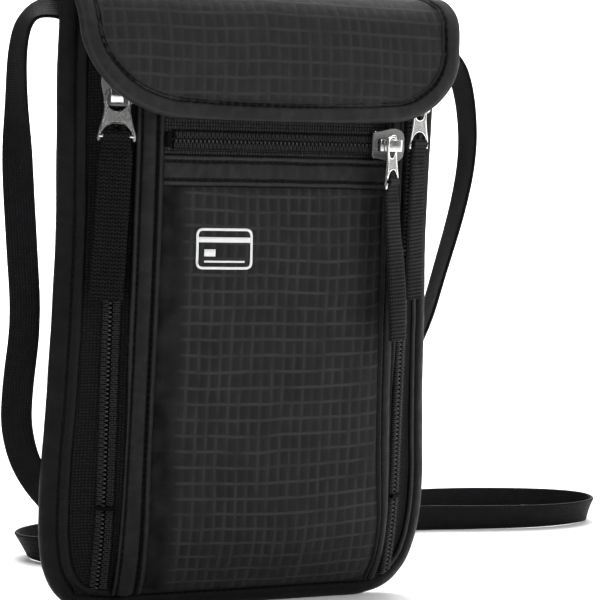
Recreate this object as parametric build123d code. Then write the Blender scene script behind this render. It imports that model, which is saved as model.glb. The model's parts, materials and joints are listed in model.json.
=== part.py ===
from build123d import *
import math
import os

# Neck pouch wallet, in millimetres. X is its width, the front faces -Y, +Z is up.
# The origin is the middle of the flat underside of the edge binding.

# ---- driving dimensions ----
WIDTH = 138.0  # over the edge binding
HEIGHT = 203.2  # to the top of the closed flap
BODY_TOP = 199.0  # top of the back panel and of the side bindings
BINDING_WIDTH = 7.5
BINDING_FRONT = -3.4
BINDING_BACK = 3.2
CORNER_RADIUS = 20.0

FABRIC = 0.9  # lined outer fabric
FRONT_TOP = 192.0  # top of the front wall
FRONT_BEND = 34.0  # below this the front wall slopes back to the binding
FRONT_FOOT = 7.6
FOOT_FRONT = -4.4  # front face of the wall where it is sewn to the binding
SEAM_GAP = 0.3

# Outline of the front wall seen from above, left to right: side panel, zip, welt, centre, and back again.
LEFT_BINDING_EDGE = (-61.3, -4.5)
LEFT_TAPE_EDGE = (-59.9, -4.75)
LEFT_PIPING = (-46.5, -11.7)
LEFT_SEAM = (-39.0, -14.4)
RIGHT_SEAM = (43.0, -14.4)
RIGHT_PIPING = (49.6, -11.6)
RIGHT_TAPE_EDGE = (59.3, -6.2)
RIGHT_BINDING_EDGE = (61.4, -4.2)
LEFT_CHAIN = 8.6  # from the outer edge of the left tape to the middle of its chain
RIGHT_CHAIN = 5.4  # from the piping to the middle of the right chain

BAND_BOTTOM = 139.6
BAND_TOP = 149.0
FRONT_CHAIN_HEIGHT = 154.2
YOKE_BOTTOM = 162.4
FRONT_FACE = -14.4

CHAIN_GAP = 0.6  # half of the slot between the two halves of a chain
CHAIN_HALF = 2.9
CHAIN_RISE = 1.35

SLIDER_HEIGHT = 168.2  # middle of the side sliders, closed
FRONT_SLIDER_X = 40.2
FRONT_PULL_TURN = 139.0  # the front pull hangs from the end of its bridge, turned away from the pouch
FRONT_PULL_TILT = 7.0  # and leaning, its outer prong lower
FRONT_LIMB = (3.3, -4.8)  # where its limb goes through the bridge, along the chain and out from the tape
BAR_Y = -4.0  # axis of a pull on its slider, out from the tape
BAR_Z = 1.5
BRIDGE_HALF = 1.9  # half of the width of a slider's bridge
EYE_HALF = 3.0
LIMB = 1.1
PULL_THICKNESS = 1.0
CROSSBAR_DROP = 15.0  # from the pull's pivot to its crossbar
RIBBON_LENGTH = 52.0
RIBBON_HALF = 5.3

FLAP_HALF = 69.5
FLAP_BOTTOM = 161.5
FLAP_RADIUS = 32.0
FLAP_FRONT = -19.8
FLAP_SKIN = 1.2
FLAP_BINDING = 6.6
HINGE_Y = 3.4

COMPARTMENT_BACK = 2.4
LINING_FRONT = -4.8
STRAP_DIAMETER = 4.0
STRAP_WIDTH = 10.0

# Centreline of the neck strap: out of the left anchor, down beside the pouch, along the floor behind it,
# out to the free loop at the right and back up to the right anchor.
STRAP_ROUTE = [
    (-63.5, 5.4, 194.6),
    (-71.5, 6.0, 194.9),
    (-78.4, 7.2, 191.2),
    (-80.6, 8.0, 181.0),
    (-80.2, 8.0, 163.0),
    (-79.0, 8.0, 141.0),
    (-76.8, 8.0, 118.0),
    (-74.4, 8.2, 94.0),
    (-76.6, 8.6, 73.0),
    (-76.4, 9.4, 58.0),
    (-70.0, 11.4, 43.0),
    (-54.0, 15.0, 28.0),
    (-36.0, 19.6, 13.0),
    (-14.0, 24.0, 5.4),
    (12.0, 28.0, 5.0),
    (30.0, 32.5, 5.0),
    (41.0, 43.0, 5.0),
    (39.0, 57.0, 5.0),
    (24.0, 65.0, 5.0),
    (-1.0, 68.0, 5.0),
    (-26.0, 73.0, 5.0),
    (-39.0, 84.0, 5.0),
    (-38.0, 98.0, 5.0),
    (-24.0, 107.0, 5.0),
    (6.0, 114.0, 5.0),
    (46.0, 121.0, 5.0),
    (90.0, 131.0, 5.0),
    (132.0, 141.5, 5.0),
    (168.0, 144.0, 5.0),
    (196.0, 138.0, 5.0),
    (213.0, 130.0, 5.0),
    (220.0, 116.5, 5.0),
    (212.5, 103.0, 5.0),
    (189.0, 96.5, 5.0),
    (160.0, 100.0, 5.0),
    (134.0, 106.5, 5.0),
    (108.0, 105.0, 5.0),
    (84.0, 94.0, 6.0),
    (67.0, 76.0, 12.0),
    (61.0, 57.0, 26.0),
    (62.0, 39.0, 45.0),
    (67.0, 22.0, 66.0),
    (74.6, 10.4, 89.0),
    (79.0, 8.0, 110.0),
    (85.0, 7.6, 131.0),
    (88.2, 7.4, 150.0),
    (86.8, 7.2, 167.0),
    (82.2, 7.0, 181.0),
    (74.6, 6.4, 191.4),
    (63.5, 5.4, 194.6),
]
ADJUSTER_SPOT = 19  # the adjuster sits on this point of the route


# ---- helpers ----
def block(x, y, z):
    """A box from its (low, high) extents along each axis."""
    size = [high - low for low, high in (x, y, z)]
    middle = [(high + low) / 2 for low, high in (x, y, z)]
    return Pos(*middle) * Box(*size)


def upright(sketch, back, front):
    """Stands a flat (x, z) sketch up and gives it the thickness from back to front."""
    return Pos(0, back, 0) * (Rot(90, 0, 0) * extrude(sketch, back - front))


def tongue(half, bottom, top, radius):
    """A flat outline with two rounded lower corners."""
    outline = Polyline((-half, top), (-half, bottom), (half, bottom), (half, top), close=True)
    face = make_face(outline)
    return fillet(face.vertices().sort_by(Axis.Y)[:2], radius)


def along(start, end, distance):
    """The point at a distance from start towards end, and the unit direction."""
    length = math.dist(start, end)
    ux = (end[0] - start[0]) / length
    uy = (end[1] - start[1]) / length
    return (start[0] + ux * distance, start[1] + uy * distance), (ux, uy)


def wall_strip(start, end, out=0.0, inner=-FABRIC, top=FRONT_TOP, foot=FRONT_FOOT):
    """A piece of the front wall: upright above the bend, sloping back to the binding below it."""
    ux, uy = along(start, end, 0.0)[1]
    outward = (uy, -ux)

    def section(z, depth):
        corners = []
        for point, rise in ((start, out), (end, out), (end, inner), (start, inner)):
            x = point[0] + outward[0] * rise
            upright_y = point[1] + outward[1] * rise
            foot_y = FOOT_FRONT - rise
            corners.append((x, foot_y + (upright_y - foot_y) * depth, z))
        return Wire(Polyline(*corners, close=True).edges())

    foot_share = (foot - FRONT_FOOT) / (FRONT_BEND - FRONT_FOOT)
    return Solid.make_loft([section(foot, foot_share), section(FRONT_BEND, 1), section(top, 1)], ruled=True)


def shortened(start, end, at_start=SEAM_GAP, at_end=SEAM_GAP):
    """The two ends of a strip, pulled in so that neighbours don't meet inside the corner."""
    return along(start, end, at_start)[0], along(end, start, at_end)[0]


def save(shape, name):
    export_step(shape, f"parts/{name}.step")


# ---- zips ----
def zip_frame(start, end, distance):
    """Where a side zip's chain stands and how far its face is turned."""
    middle, direction = along(start, end, distance)
    return middle, math.degrees(math.atan2(direction[1], direction[0]))


def side_zip(start, end, distance):
    """Tapes, chain halves and stops of a zip on one shoulder."""
    length = math.dist(start, end)
    left_tape = [along(start, end, d)[0] for d in (SEAM_GAP, distance - CHAIN_GAP)]
    right_tape = [along(start, end, d)[0] for d in (distance + CHAIN_GAP, length - SEAM_GAP)]
    left_coil = [along(start, end, distance - d)[0] for d in (CHAIN_HALF, CHAIN_GAP)]
    right_coil = [along(start, end, distance + d)[0] for d in (CHAIN_GAP, CHAIN_HALF)]
    tapes = Compound([wall_strip(*left_tape), wall_strip(*right_tape)])
    coils = Compound([wall_strip(*line, out=CHAIN_RISE, inner=0.02, top=181, foot=26) for line in
                      (left_coil, right_coil)])
    return tapes, coils


def side_stops(middle, turn):
    """Two top stops on the tape above the chain and one bottom stop across it."""
    tops = [block((low, low + 2), (-1.5, -0.05), (181.6, 184.2)) for low in (-2.8, 0.8)]
    bottom = block((-3.2, 3.2), (-2.4, -1.4), (FRONT_BEND + 0.2, FRONT_BEND + 2.4))
    return Location((*middle, 0), (0, 0, turn)) * Compound(tops + [bottom])


def front_zip():
    """Tapes, chain halves and stops of the level zip above the front pocket."""
    low_x = LEFT_SEAM[0] + SEAM_GAP
    high_x = RIGHT_SEAM[0] - SEAM_GAP
    face = (FRONT_FACE, FRONT_FACE + FABRIC)
    chain = FRONT_CHAIN_HEIGHT
    tapes = Compound([
        block((low_x, high_x), face, (BAND_TOP + 0.1, chain - CHAIN_GAP)),
        block((low_x, high_x), face, (chain + CHAIN_GAP, YOKE_BOTTOM - 0.1)),
    ])
    rise = (FRONT_FACE - CHAIN_RISE, FRONT_FACE - 0.02)
    coils = Compound([
        block((low_x + 2.6, high_x - 0.4), rise, (chain - CHAIN_HALF, chain - CHAIN_GAP)),
        block((low_x + 2.6, high_x - 0.4), rise, (chain + CHAIN_GAP, chain + CHAIN_HALF)),
    ])
    stops = block((low_x + 0.2, low_x + 2.4), (rise[0] - 0.8, rise[1]), (chain - 3.2, chain + 3.2))
    return tapes, coils, stops


def slider_body():
    """A slider in its own frame: chain along Z, tape at y 0, outside towards -Y."""
    outline = [(-4.4, -4.0), (-5.8, 4.0), (-4.2, 8.0), (4.2, 8.0), (5.8, 4.0), (4.4, -4.0)]
    shield = make_face(Polyline(*outline, close=True))
    shield = fillet(shield.vertices(), 1.2)
    top_wing = upright(shield, -1.6, -3.0)
    flange = block((3.2, 4.6), (-1.6, -0.3), (-3.2, 2.5))
    under_wing = block((-4.2, 4.2), (1.05, 2.2), (-4.0, 2.4))
    post = block((-0.4, 0.4), (-1.7, 1.15), (-1.5, 2.3))
    low_post = block((-BRIDGE_HALF, BRIDGE_HALF), (-6.0, -2.9), (-2.9, -1.2))
    high_post = block((-BRIDGE_HALF, BRIDGE_HALF), (-6.0, -2.9), (4.5, 6.2))
    roof = block((-BRIDGE_HALF, BRIDGE_HALF), (-7.0, -5.9), (-2.9, 6.2))
    roof = fillet(roof.edges().filter_by(Axis.X).group_by(Axis.Y)[0], 0.9)
    body = top_wing + flange + mirror(flange, Plane.YZ) + under_wing + post + low_post + high_post + roof
    return body


def pull_tab():
    """A pull in its own frame: pivot bar along X through the origin, hanging down."""
    outer = [(-2.6, 0.6), (-4.1, -1.2), (-4.2, -7.6), (-6.2, -15.4), (-5.4, -17.0), (-4.95, -13.6)]
    arch_top = -10.6
    right = [(-x, z) for x, z in reversed(outer)]
    arch = ThreePointArc(outer[-1], (0, arch_top), right[0])
    sides = Polyline(*right, *outer)
    blank = make_face(Wire(arch.edges() + sides.edges()))
    eye = Pos(0, -(0.5 + 6.6 / 2)) * RectangleRounded(2 * EYE_HALF, 6.6, 0.8)
    plate = extrude(blank - eye, PULL_THICKNESS / 2, both=True)
    plate = Rot(90, 0, 0) * plate
    crossbar = Pos(0, 0, -CROSSBAR_DROP) * (Rot(0, 90, 0) * Cylinder(0.6, 11.2))
    return plate + crossbar


def pull_ribbon(bar_lean=0.0):
    """The doubled ribbon on a pull's crossbar, in the pull's frame; the bar may lean across it."""
    loop = Rot(0, 90, 0) * Cylinder(1.8, 8.6)
    neck = block((-4.3, 4.3), (-0.9, 0.9), (-4.4, 0))
    tail = block((-RIBBON_HALF, RIBBON_HALF), (-0.9, 0.9), (-RIBBON_LENGTH, -4.4))
    hole = Rot(0, 90 + bar_lean, 0) * Cylinder(0.8, 20)
    return Pos(0, 0, -CROSSBAR_DROP) * (loop + neck + tail - hole)


def place_sliders():
    """The three sliders with their pulls and ribbons."""
    for side, start, end, distance in (
        ("left", LEFT_TAPE_EDGE, LEFT_PIPING, LEFT_CHAIN),
        ("right", RIGHT_PIPING, RIGHT_TAPE_EDGE, RIGHT_CHAIN),
    ):
        middle, turn = zip_frame(start, end, distance)
        spot = Location((*middle, SLIDER_HEIGHT), (0, 0, turn))
        save(spot * slider_body(), f"{side}_slider_body")
        pivot = spot * Pos(0, BAR_Y, BAR_Z)
        save(pivot * pull_tab(), f"{side}_pull_tab")
        save(pivot * pull_ribbon(), f"{side}_pull_ribbon")
        axis_end = (pivot * Pos(1, 0, 0)).position
        print(side, "pivot", pivot.position, "axis", axis_end - pivot.position)
    spot = Location((FRONT_SLIDER_X, FRONT_FACE, FRONT_CHAIN_HEIGHT), (0, 90, 0))
    save(spot * slider_body(), "front_slider_body")
    limb = (FRONT_SLIDER_X + FRONT_LIMB[0], FRONT_FACE + FRONT_LIMB[1], FRONT_CHAIN_HEIGHT)
    turned = Location(limb, (0, 0, -FRONT_PULL_TURN))
    hang = turned * Rot(0, FRONT_PULL_TILT, 0) * Pos(EYE_HALF + LIMB / 2, 0, BRIDGE_HALF + 1.5)
    save(hang * pull_tab(), "front_pull_tab")
    bar = hang * Pos(0, 0, -CROSSBAR_DROP)
    plumb = Location(bar.position, (0, 0, -FRONT_PULL_TURN)) * Pos(0, 0, CROSSBAR_DROP)
    save(plumb * pull_ribbon(FRONT_PULL_TILT), "front_pull_ribbon")
    print("front pull axis at", limb, "crossbar", bar.position)


# ---- the pouch ----
def edge_binding():
    """The folded tape round the sides and the bottom."""
    outer = tongue(WIDTH / 2, 0, BODY_TOP, CORNER_RADIUS)
    inner = tongue(WIDTH / 2 - BINDING_WIDTH, BINDING_WIDTH, BODY_TOP + 1, CORNER_RADIUS - BINDING_WIDTH)
    ring = upright(outer - inner, BINDING_BACK, BINDING_FRONT)
    return ring


def back_layers():
    """The back panel, its liner and the slip pocket inside it."""
    inset = BINDING_WIDTH + 0.1
    half = WIDTH / 2 - inset
    radius = CORNER_RADIUS - inset
    save(upright(tongue(half, inset, BODY_TOP + 1.0, radius), 3.2, COMPARTMENT_BACK), "back_panel")
    save(upright(tongue(half - 1, inset + 1, 192, radius), 2.3, 2.0), "rfid_back_liner")
    save(upright(tongue(half - 2, inset + 1, 152, radius), 1.9, 1.4), "back_slip_pocket")


def pocket_layers():
    """The wall between the main compartment and the zipped front, and what is sewn to it."""
    save(block((-49, 49), (LINING_FRONT, -4.2), (16, FRONT_TOP)), "pocket_lining")
    save(block((-46, 46), (-5.2, -4.9), (24, 180)), "rfid_front_liner")
    save(block((-42, 42), (-6.0, -5.5), (26, 112)), "card_pocket_panel")
    side = make_face(Polyline((-61.2, -2.9), (-49.1, -4.8), (-49.1, -4.2), (-61.2, -2.3), close=True))
    left = Pos(0, 0, 20) * extrude(side, FRONT_TOP - 20)
    foot = make_face(Polyline((-2.9, 7.8), (-4.8, 15.9), (-4.2, 15.9), (-2.3, 7.8), close=True))
    bottom = Pos(-48, 0, 0) * (Plane.YZ * foot)
    save(Compound([left, mirror(left, Plane.YZ), extrude(bottom, 96)]), "pocket_gusset")
    rim = [(-56, -4.9), (-56, -7.2), LEFT_PIPING, LEFT_SEAM, RIGHT_SEAM, RIGHT_PIPING, (56, -8.4), (56, -4.9)]
    save(Pos(0, 0, FRONT_TOP + 0.1) * extrude(make_face(Polyline(*rim, close=True)), 1.2), "mouth_facing")


def front_layers():
    """The visible front: side panels, zips, welts, pocket panel, folded band and yoke."""
    save(wall_strip(*shortened(LEFT_BINDING_EDGE, LEFT_TAPE_EDGE, 0.0)), "left_side_panel")
    save(wall_strip(*shortened(RIGHT_TAPE_EDGE, RIGHT_BINDING_EDGE, at_end=0.0)), "right_side_panel")
    save(wall_strip(*shortened(LEFT_PIPING, LEFT_SEAM), out=0.4), "left_welt")
    save(wall_strip(*shortened(RIGHT_SEAM, RIGHT_PIPING), out=0.4), "right_welt")
    save(wall_strip(*shortened(LEFT_SEAM, RIGHT_SEAM), top=BAND_BOTTOM - 0.1), "front_panel")
    wide = (LEFT_SEAM[0] + SEAM_GAP, RIGHT_SEAM[0] - SEAM_GAP)
    save(block(wide, (FRONT_FACE - 0.3, FRONT_FACE + FABRIC), (BAND_BOTTOM, BAND_TOP)), "pocket_band")
    save(block(wide, (FRONT_FACE, FRONT_FACE + FABRIC), (YOKE_BOTTOM, FRONT_TOP)), "front_yoke")
    patches = [block((x, x + 24), (-15.7, -14.5), (171, 185)) for x in (-30, 12)]
    save(Compound(patches), "loop_patches")
    for side, start, end, distance in (
        ("left", LEFT_TAPE_EDGE, LEFT_PIPING, LEFT_CHAIN),
        ("right", RIGHT_PIPING, RIGHT_TAPE_EDGE, RIGHT_CHAIN),
    ):
        tapes, coils = side_zip(start, end, distance)
        save(tapes, f"{side}_zip_tapes")
        save(coils, f"{side}_zip_coils")
        save(side_stops(*zip_frame(start, end, distance)), f"{side}_zip_stops")
    for piece, name in zip(front_zip(), ("tapes", "coils", "stops")):
        save(piece, f"front_zip_{name}")


def flap():
    """The flap: shell over the top, lining, folded edge and hook patches."""
    inner_half = FLAP_HALF - FLAP_BINDING
    front_sketch = tongue(inner_half - 0.1, FLAP_BOTTOM + FLAP_BINDING + 0.1, HEIGHT, FLAP_RADIUS - FLAP_BINDING)
    back = FLAP_FRONT + FLAP_SKIN
    front = upright(front_sketch, back, FLAP_FRONT)
    top = block((-inner_half + 0.1, inner_half - 0.1), (FLAP_FRONT, HINGE_Y), (HEIGHT - FLAP_SKIN, HEIGHT))
    drop = block((-inner_half + 0.1, inner_half - 0.1), (HINGE_Y - FLAP_SKIN, HINGE_Y), (200.4, HEIGHT))
    save(front + top + drop, "flap_shell")
    save(upright(tongue(60, 170, 201.6, 24), back + 0.45, back + 0.05), "flap_lining")
    outer = tongue(FLAP_HALF, FLAP_BOTTOM, HEIGHT, FLAP_RADIUS)
    hole = tongue(inner_half, FLAP_BOTTOM + FLAP_BINDING, HEIGHT + 1, FLAP_RADIUS - FLAP_BINDING)
    save(upright(outer - hole, back + 0.2, FLAP_FRONT - 0.4), "flap_binding")
    patches = [block((x, x + 24), (back + 0.5, back + 1.7), (171, 185)) for x in (-30, 12)]
    save(Compound(patches), "hook_patches")


# ---- the strap ----
def corner_radii(points):
    """For each inner point, the largest arc its two runs leave room for."""
    vectors = [Vector(*point) for point in points]
    radii = []
    for before, here, after in zip(vectors, vectors[1:], vectors[2:]):
        into = here - before
        out = after - here
        turn = math.radians(into.get_angle(out))
        radii.append(0.45 * min(into.length, out.length) / math.tan(turn / 2))
    return radii


def strap():
    """The free strap as a plain round tube, with its adjuster, doubled tail and sewn anchors."""
    radii = corner_radii(STRAP_ROUTE)
    runs = [math.dist(a, b) for a, b in zip(STRAP_ROUTE, STRAP_ROUTE[1:])]
    print("strap radii", [round(r, 1) for r in radii])
    print("strap runs", [round(r, 1) for r in runs])
    path = FilletPolyline(*STRAP_ROUTE, radius=radii)
    start = Plane(origin=path @ 0, z_dir=path % 0)
    tube = sweep(start * Circle(STRAP_DIAMETER / 2), path=path)
    area = math.pi * STRAP_DIAMETER ** 2 / 4
    print("strap length", round(path.length, 1), "volume ratio", round(tube.volume / (area * path.length), 4))
    save(tube, "neck_strap")
    spot = STRAP_ROUTE[ADJUSTER_SPOT]
    frame = block((-7.5, 7.5), (-1.6, 1.6), (-5.0, 8.2)) - block((-5.6, 5.6), (-3, 3), (-3.4, 6.6))
    bar = block((-1.2, 1.2), (-1.6, 1.6), (-4, 7))
    after = STRAP_ROUTE[ADJUSTER_SPOT + 1]
    turn = math.degrees(math.atan2(spot[1] - after[1], spot[0] - after[0]))
    place = Location(spot, (0, 0, turn))
    save(place * (frame + bar), "strap_adjuster")
    save(place * block((9, 30), (-3.8, -2.6), (-4.8, 4.8)), "strap_tail")
    anchors = [block((x, x + 14), (BINDING_BACK + 0.05, BINDING_BACK + 1.25), (185, 196.8)) for x in (-63, 49)]
    save(Compound(anchors), "strap_anchors")


def main():
    os.makedirs("parts", exist_ok=True)
    save(edge_binding(), "edge_binding")
    back_layers()
    pocket_layers()
    front_layers()
    flap()
    place_sliders()
    strap()


main()
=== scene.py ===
import json
import math

import bmesh
import bpy
import numpy as np
from mathutils import Matrix, Vector, noise

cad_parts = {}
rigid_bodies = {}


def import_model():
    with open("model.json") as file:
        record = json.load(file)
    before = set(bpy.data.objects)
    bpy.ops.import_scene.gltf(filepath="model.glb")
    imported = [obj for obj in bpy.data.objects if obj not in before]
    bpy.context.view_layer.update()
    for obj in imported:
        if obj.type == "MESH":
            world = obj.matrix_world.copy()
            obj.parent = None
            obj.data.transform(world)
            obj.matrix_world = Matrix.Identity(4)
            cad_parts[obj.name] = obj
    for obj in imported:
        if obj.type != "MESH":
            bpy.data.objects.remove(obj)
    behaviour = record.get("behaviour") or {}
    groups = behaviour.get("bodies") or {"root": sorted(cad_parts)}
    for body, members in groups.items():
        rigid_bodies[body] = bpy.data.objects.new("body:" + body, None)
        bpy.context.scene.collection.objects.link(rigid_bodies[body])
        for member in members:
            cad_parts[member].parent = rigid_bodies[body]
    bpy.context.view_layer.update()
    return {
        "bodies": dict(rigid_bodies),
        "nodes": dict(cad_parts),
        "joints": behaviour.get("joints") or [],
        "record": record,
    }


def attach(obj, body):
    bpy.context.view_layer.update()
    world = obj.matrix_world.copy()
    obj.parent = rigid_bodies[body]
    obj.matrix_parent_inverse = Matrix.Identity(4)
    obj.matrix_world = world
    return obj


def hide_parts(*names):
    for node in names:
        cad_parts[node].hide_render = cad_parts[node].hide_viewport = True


# The looks of the neck pouch. Everything here is in millimetres until a mesh is made; Blender gets metres.
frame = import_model()
MM = 0.001
POUCH, FLAP = "pouch", "flap"
# How far apart the stitches are on the pouch's seams, on its binding and the layers inside, and on the flap's edge,
# and how far apart a ribbon's ribs are.
STITCH_PITCH, BINDING_PITCH, FLAP_PITCH = 2.3, 2.4, 2.9
RIB = 1.22

scene = bpy.context.scene
scene.view_settings.view_transform = "Standard"


# ---------------------------------------------------------------- numbers and curves
def ease(low, high, x):
    """0 at low, 1 at high, smooth between."""
    t = np.clip((np.asarray(x, float) - low) / (high - low), 0, 1)
    return t * t * (3 - 2 * t)


def unit(v):
    return v / np.maximum(np.linalg.norm(v, axis=-1, keepdims=True), 1e-9)


def travelled(points):
    """The distance of each point along the line they make."""
    return np.concatenate([[0], np.cumsum(np.linalg.norm(np.diff(points, axis=0), axis=1))])


def sample(s, run, field):
    """The rows of field at distances s, where row k stands at distance run[k]."""
    return np.stack([np.interp(s, run, column) for column in field.T], axis=-1)


def alike(vector, points):
    """The same vector at every point."""
    return np.broadcast_to(np.array(vector, float), points.shape)


def through(*knots):
    """A smooth function through (input, output...) knots."""
    table = np.array(sorted(knots), float)
    ins, outs = table[:, 0], table[:, 1:]
    slopes = np.gradient(outs, ins, axis=0)

    def value(x):
        x = np.clip(np.asarray(x, float), ins[0], ins[-1])
        i = np.clip(np.searchsorted(ins, x, side="right") - 1, 0, len(ins) - 2)
        h = (ins[i + 1] - ins[i])[..., None]
        t = (x - ins[i])[..., None] / h
        a, b = outs[i], outs[i + 1]
        ta, tb = slopes[i] * h, slopes[i + 1] * h
        made = a * (2 * t**3 - 3 * t**2 + 1) + ta * (t**3 - 2 * t**2 + t)
        made = made + b * (3 * t**2 - 2 * t**3) + tb * (t**3 - t**2)
        return made[..., 0] if outs.shape[1] == 1 else made

    return value


def spline(points, step):
    """Points about step apart on a smooth line through the given ones, and the distance along it of each."""
    points = np.array(points, float)
    run = travelled(points)
    curve = through(*[(s, *p) for s, p in zip(run, points)])
    dense = curve(np.linspace(0, run[-1], max(8, int(run[-1] / step * 4))))
    length = travelled(dense)
    wanted = np.linspace(0, length[-1], max(2, round(length[-1] / step) + 1))
    return sample(wanted, length, dense), wanted


def lumps(points, size, seed=0):
    """Smooth noise from about -1 to 1 at each point."""
    shift = Vector((seed * 17.3, seed * 5.1, seed * 9.7))
    size = np.ones(3) * size
    flat = (points / size).reshape(-1, 3)
    return np.array([noise.noise(Vector(p) + shift) for p in flat]).reshape(points.shape[:-1])


# ---------------------------------------------------------------- meshes
def put(name, data):
    """A new object in the scene."""
    made = bpy.data.objects.new(name, data)
    scene.collection.objects.link(made)
    return made


def piece(name, parts, body, material, replaces=(), angle=None, materials=None):
    """One object from (vertices, faces, uv of each face corner) parts, riding on a body."""
    verts, faces, uvs, kinds, start = [], [], [], [], 0
    for index, (v, f, uv) in enumerate(parts):
        v = np.asarray(v, float).reshape(-1, 3)
        verts.append(v)
        faces += [tuple(int(i) + start for i in one) for one in f]
        uvs.append(np.asarray(uv, float).reshape(-1, 2))
        kinds += [index if materials else 0] * len(f)
        start += len(v)
    mesh = bpy.data.meshes.new(name)
    mesh.from_pydata((np.concatenate(verts) * MM).tolist(), [], faces)
    layer = mesh.uv_layers.new(name="weave")
    layer.data.foreach_set("uv", np.concatenate(uvs).astype(np.float32).ravel())
    mesh.polygons.foreach_set("use_smooth", [True] * len(mesh.polygons))
    for m in materials or [material]:
        mesh.materials.append(m)
    mesh.polygons.foreach_set("material_index", kinds)
    if angle:
        mesh.set_sharp_from_angle(angle=math.radians(angle))
    mesh.update()
    made = put(name, mesh)
    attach(made, body)
    if replaces:
        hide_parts(*replaces)
    return made


def sewn(name, rows, body=POUCH):
    """Rows of stitches as one object."""
    return piece(name, rows, body, THREAD)


def slab(front, thick, uv=None, rim=3):
    """A closed sheet: a grid of front points (u to the right, v up, seen from outside), its back and a round rim."""
    nu, nv = front.shape[:2]
    du, dv = np.gradient(front, axis=0), np.gradient(front, axis=1)
    out = unit(np.cross(du, dv))
    if uv is None:
        uv = np.zeros((nu, nv, 2))
        uv[1:, :, 0] = np.cumsum(np.linalg.norm(np.diff(front, axis=0), axis=2), axis=0)
        uv[:, 1:, 1] = np.cumsum(np.linalg.norm(np.diff(front, axis=1), axis=2), axis=1)
    back = front - out * thick
    loop = [(i, 0) for i in range(nu)] + [(nu - 1, j) for j in range(1, nv)]
    loop += [(i, nv - 1) for i in range(nu - 2, -1, -1)] + [(0, j) for j in range(nv - 2, 0, -1)]
    ii, jj = np.array(loop).T
    side = unit(du[ii, jj]) * ((ii == nu - 1) * 1.0 - (ii == 0) * 1.0)[:, None]
    side = unit(side + unit(dv[ii, jj]) * ((jj == nv - 1) * 1.0 - (jj == 0) * 1.0)[:, None])
    half = np.linalg.norm(front[ii, jj] - back[ii, jj], axis=1)[:, None] / 2
    middle = (front[ii, jj] + back[ii, jj]) / 2
    rings = []
    for k in range(1, rim + 1):
        a = math.pi * k / (rim + 1)
        rings.append(middle + out[ii, jj] * half * math.cos(a) + side * half * math.sin(a))
    verts = np.concatenate([front.reshape(-1, 3), back.reshape(-1, 3)] + rings)
    index = np.arange(nu * nv).reshape(nu, nv)
    a, b, c, d = index[:-1, :-1], index[1:, :-1], index[1:, 1:], index[:-1, 1:]
    faces = np.stack([a, b, c, d], axis=2).reshape(-1, 4)
    flipped = np.stack([d, c, b, a], axis=2).reshape(-1, 4) + nu * nv
    edge = index[ii, jj]
    rows = [edge] + [np.arange(len(edge)) + 2 * nu * nv + k * len(edge) for k in range(rim)] + [edge + nu * nv]
    quads = [np.stack([p, q, np.roll(q, -1), np.roll(p, -1)], axis=1) for p, q in zip(rows, rows[1:])]
    faces = np.concatenate([faces, flipped] + quads)
    flat = uv.reshape(-1, 2)
    table = np.concatenate([flat, flat] + [flat[edge]] * rim)
    return verts, faces, table[faces].reshape(-1, 2)


def sweep(path, across, up, section, caps=True):
    """A closed section of (across, up) points carried along a path. U runs round the section and V along the path."""
    section = np.asarray(section, float)
    if section.ndim == 2:
        section = np.broadcast_to(section, (len(path), *section.shape))
    n, m = section.shape[:2]
    verts = path[:, None] + across[:, None] * section[..., :1] + up[:, None] * section[..., 1:]
    girth = travelled(np.concatenate([section[0], section[0][:1]]))
    length = travelled(path)
    faces, uvs = [], []
    for k in range(n - 1):
        for j in range(m):
            a, b = k * m + j, k * m + (j + 1) % m
            faces.append((a, b, b + m, a + m))
            u0, u1, v0, v1 = girth[j], girth[j + 1], length[k], length[k + 1]
            uvs += [(u0, v0), (u1, v0), (u1, v1), (u0, v1)]
    if caps:
        faces.append(tuple(range(m - 1, -1, -1)))
        faces.append(tuple((n - 1) * m + j for j in range(m)))
        uvs += [(u, v) for u, v in section[0][::-1]] + [(u, length[-1] + v) for u, v in section[-1]]
    return verts.reshape(-1, 3), faces, uvs


def threads(centres, side, up, radius, sides=6):
    """Many short round strands at once: centres is (strands, stations, 3) and radius one value for each station."""
    m, k = centres.shape[:2]
    turn = np.arange(sides) * 2 * math.pi / sides
    ring = side[:, :, None] * np.cos(turn)[:, None] + up[:, :, None] * np.sin(turn)[:, None]
    verts = centres[:, :, None] + ring * np.asarray(radius)[None, :, None, None]
    one = [
        (s * sides + j, s * sides + (j + 1) % sides, (s + 1) * sides + (j + 1) % sides, (s + 1) * sides + j)
        for s in range(k - 1)
        for j in range(sides)
    ]
    one += [tuple(range(sides - 1, -1, -1)), tuple((k - 1) * sides + j for j in range(sides))]
    faces = [tuple(i + t * k * sides for i in f) for t in range(m) for f in one]
    corners = sum(len(f) for f in one) * m
    return verts.reshape(-1, 3), faces, np.zeros((corners, 2))


def stitches(line, out, pitch=STITCH_PITCH, long=1.7, radius=0.18, bow=0.16, first=0.0):
    """Sewing thread along a line: separate bowed stitches whose ends go down into the cloth."""
    line, out = np.asarray(line, float), np.asarray(out, float)
    run = travelled(line)
    starts = np.arange(first, run[-1] - long, pitch)
    t = np.linspace(0, 1, 6)
    at = starts[:, None] + long * t[None]
    centres = sample(at, run, line)
    normal = unit(sample(at, run, out))
    centres = centres + normal * (bow * (1.6 * np.sin(math.pi * t) - 0.6))[None, :, None]
    forward = unit(np.gradient(centres, axis=1))
    side = unit(np.cross(forward, normal))
    return threads(centres, side, unit(np.cross(side, forward)), radius * (0.55 + 0.45 * np.sin(math.pi * t)))


def moved(part, matrix):
    """A part of a mesh taken from its own frame (millimetres) to the pouch's."""
    v, f, uv = part
    m = np.array(matrix)
    return np.asarray(v) @ m[:3, :3].T + m[:3, 3], f, uv


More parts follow.
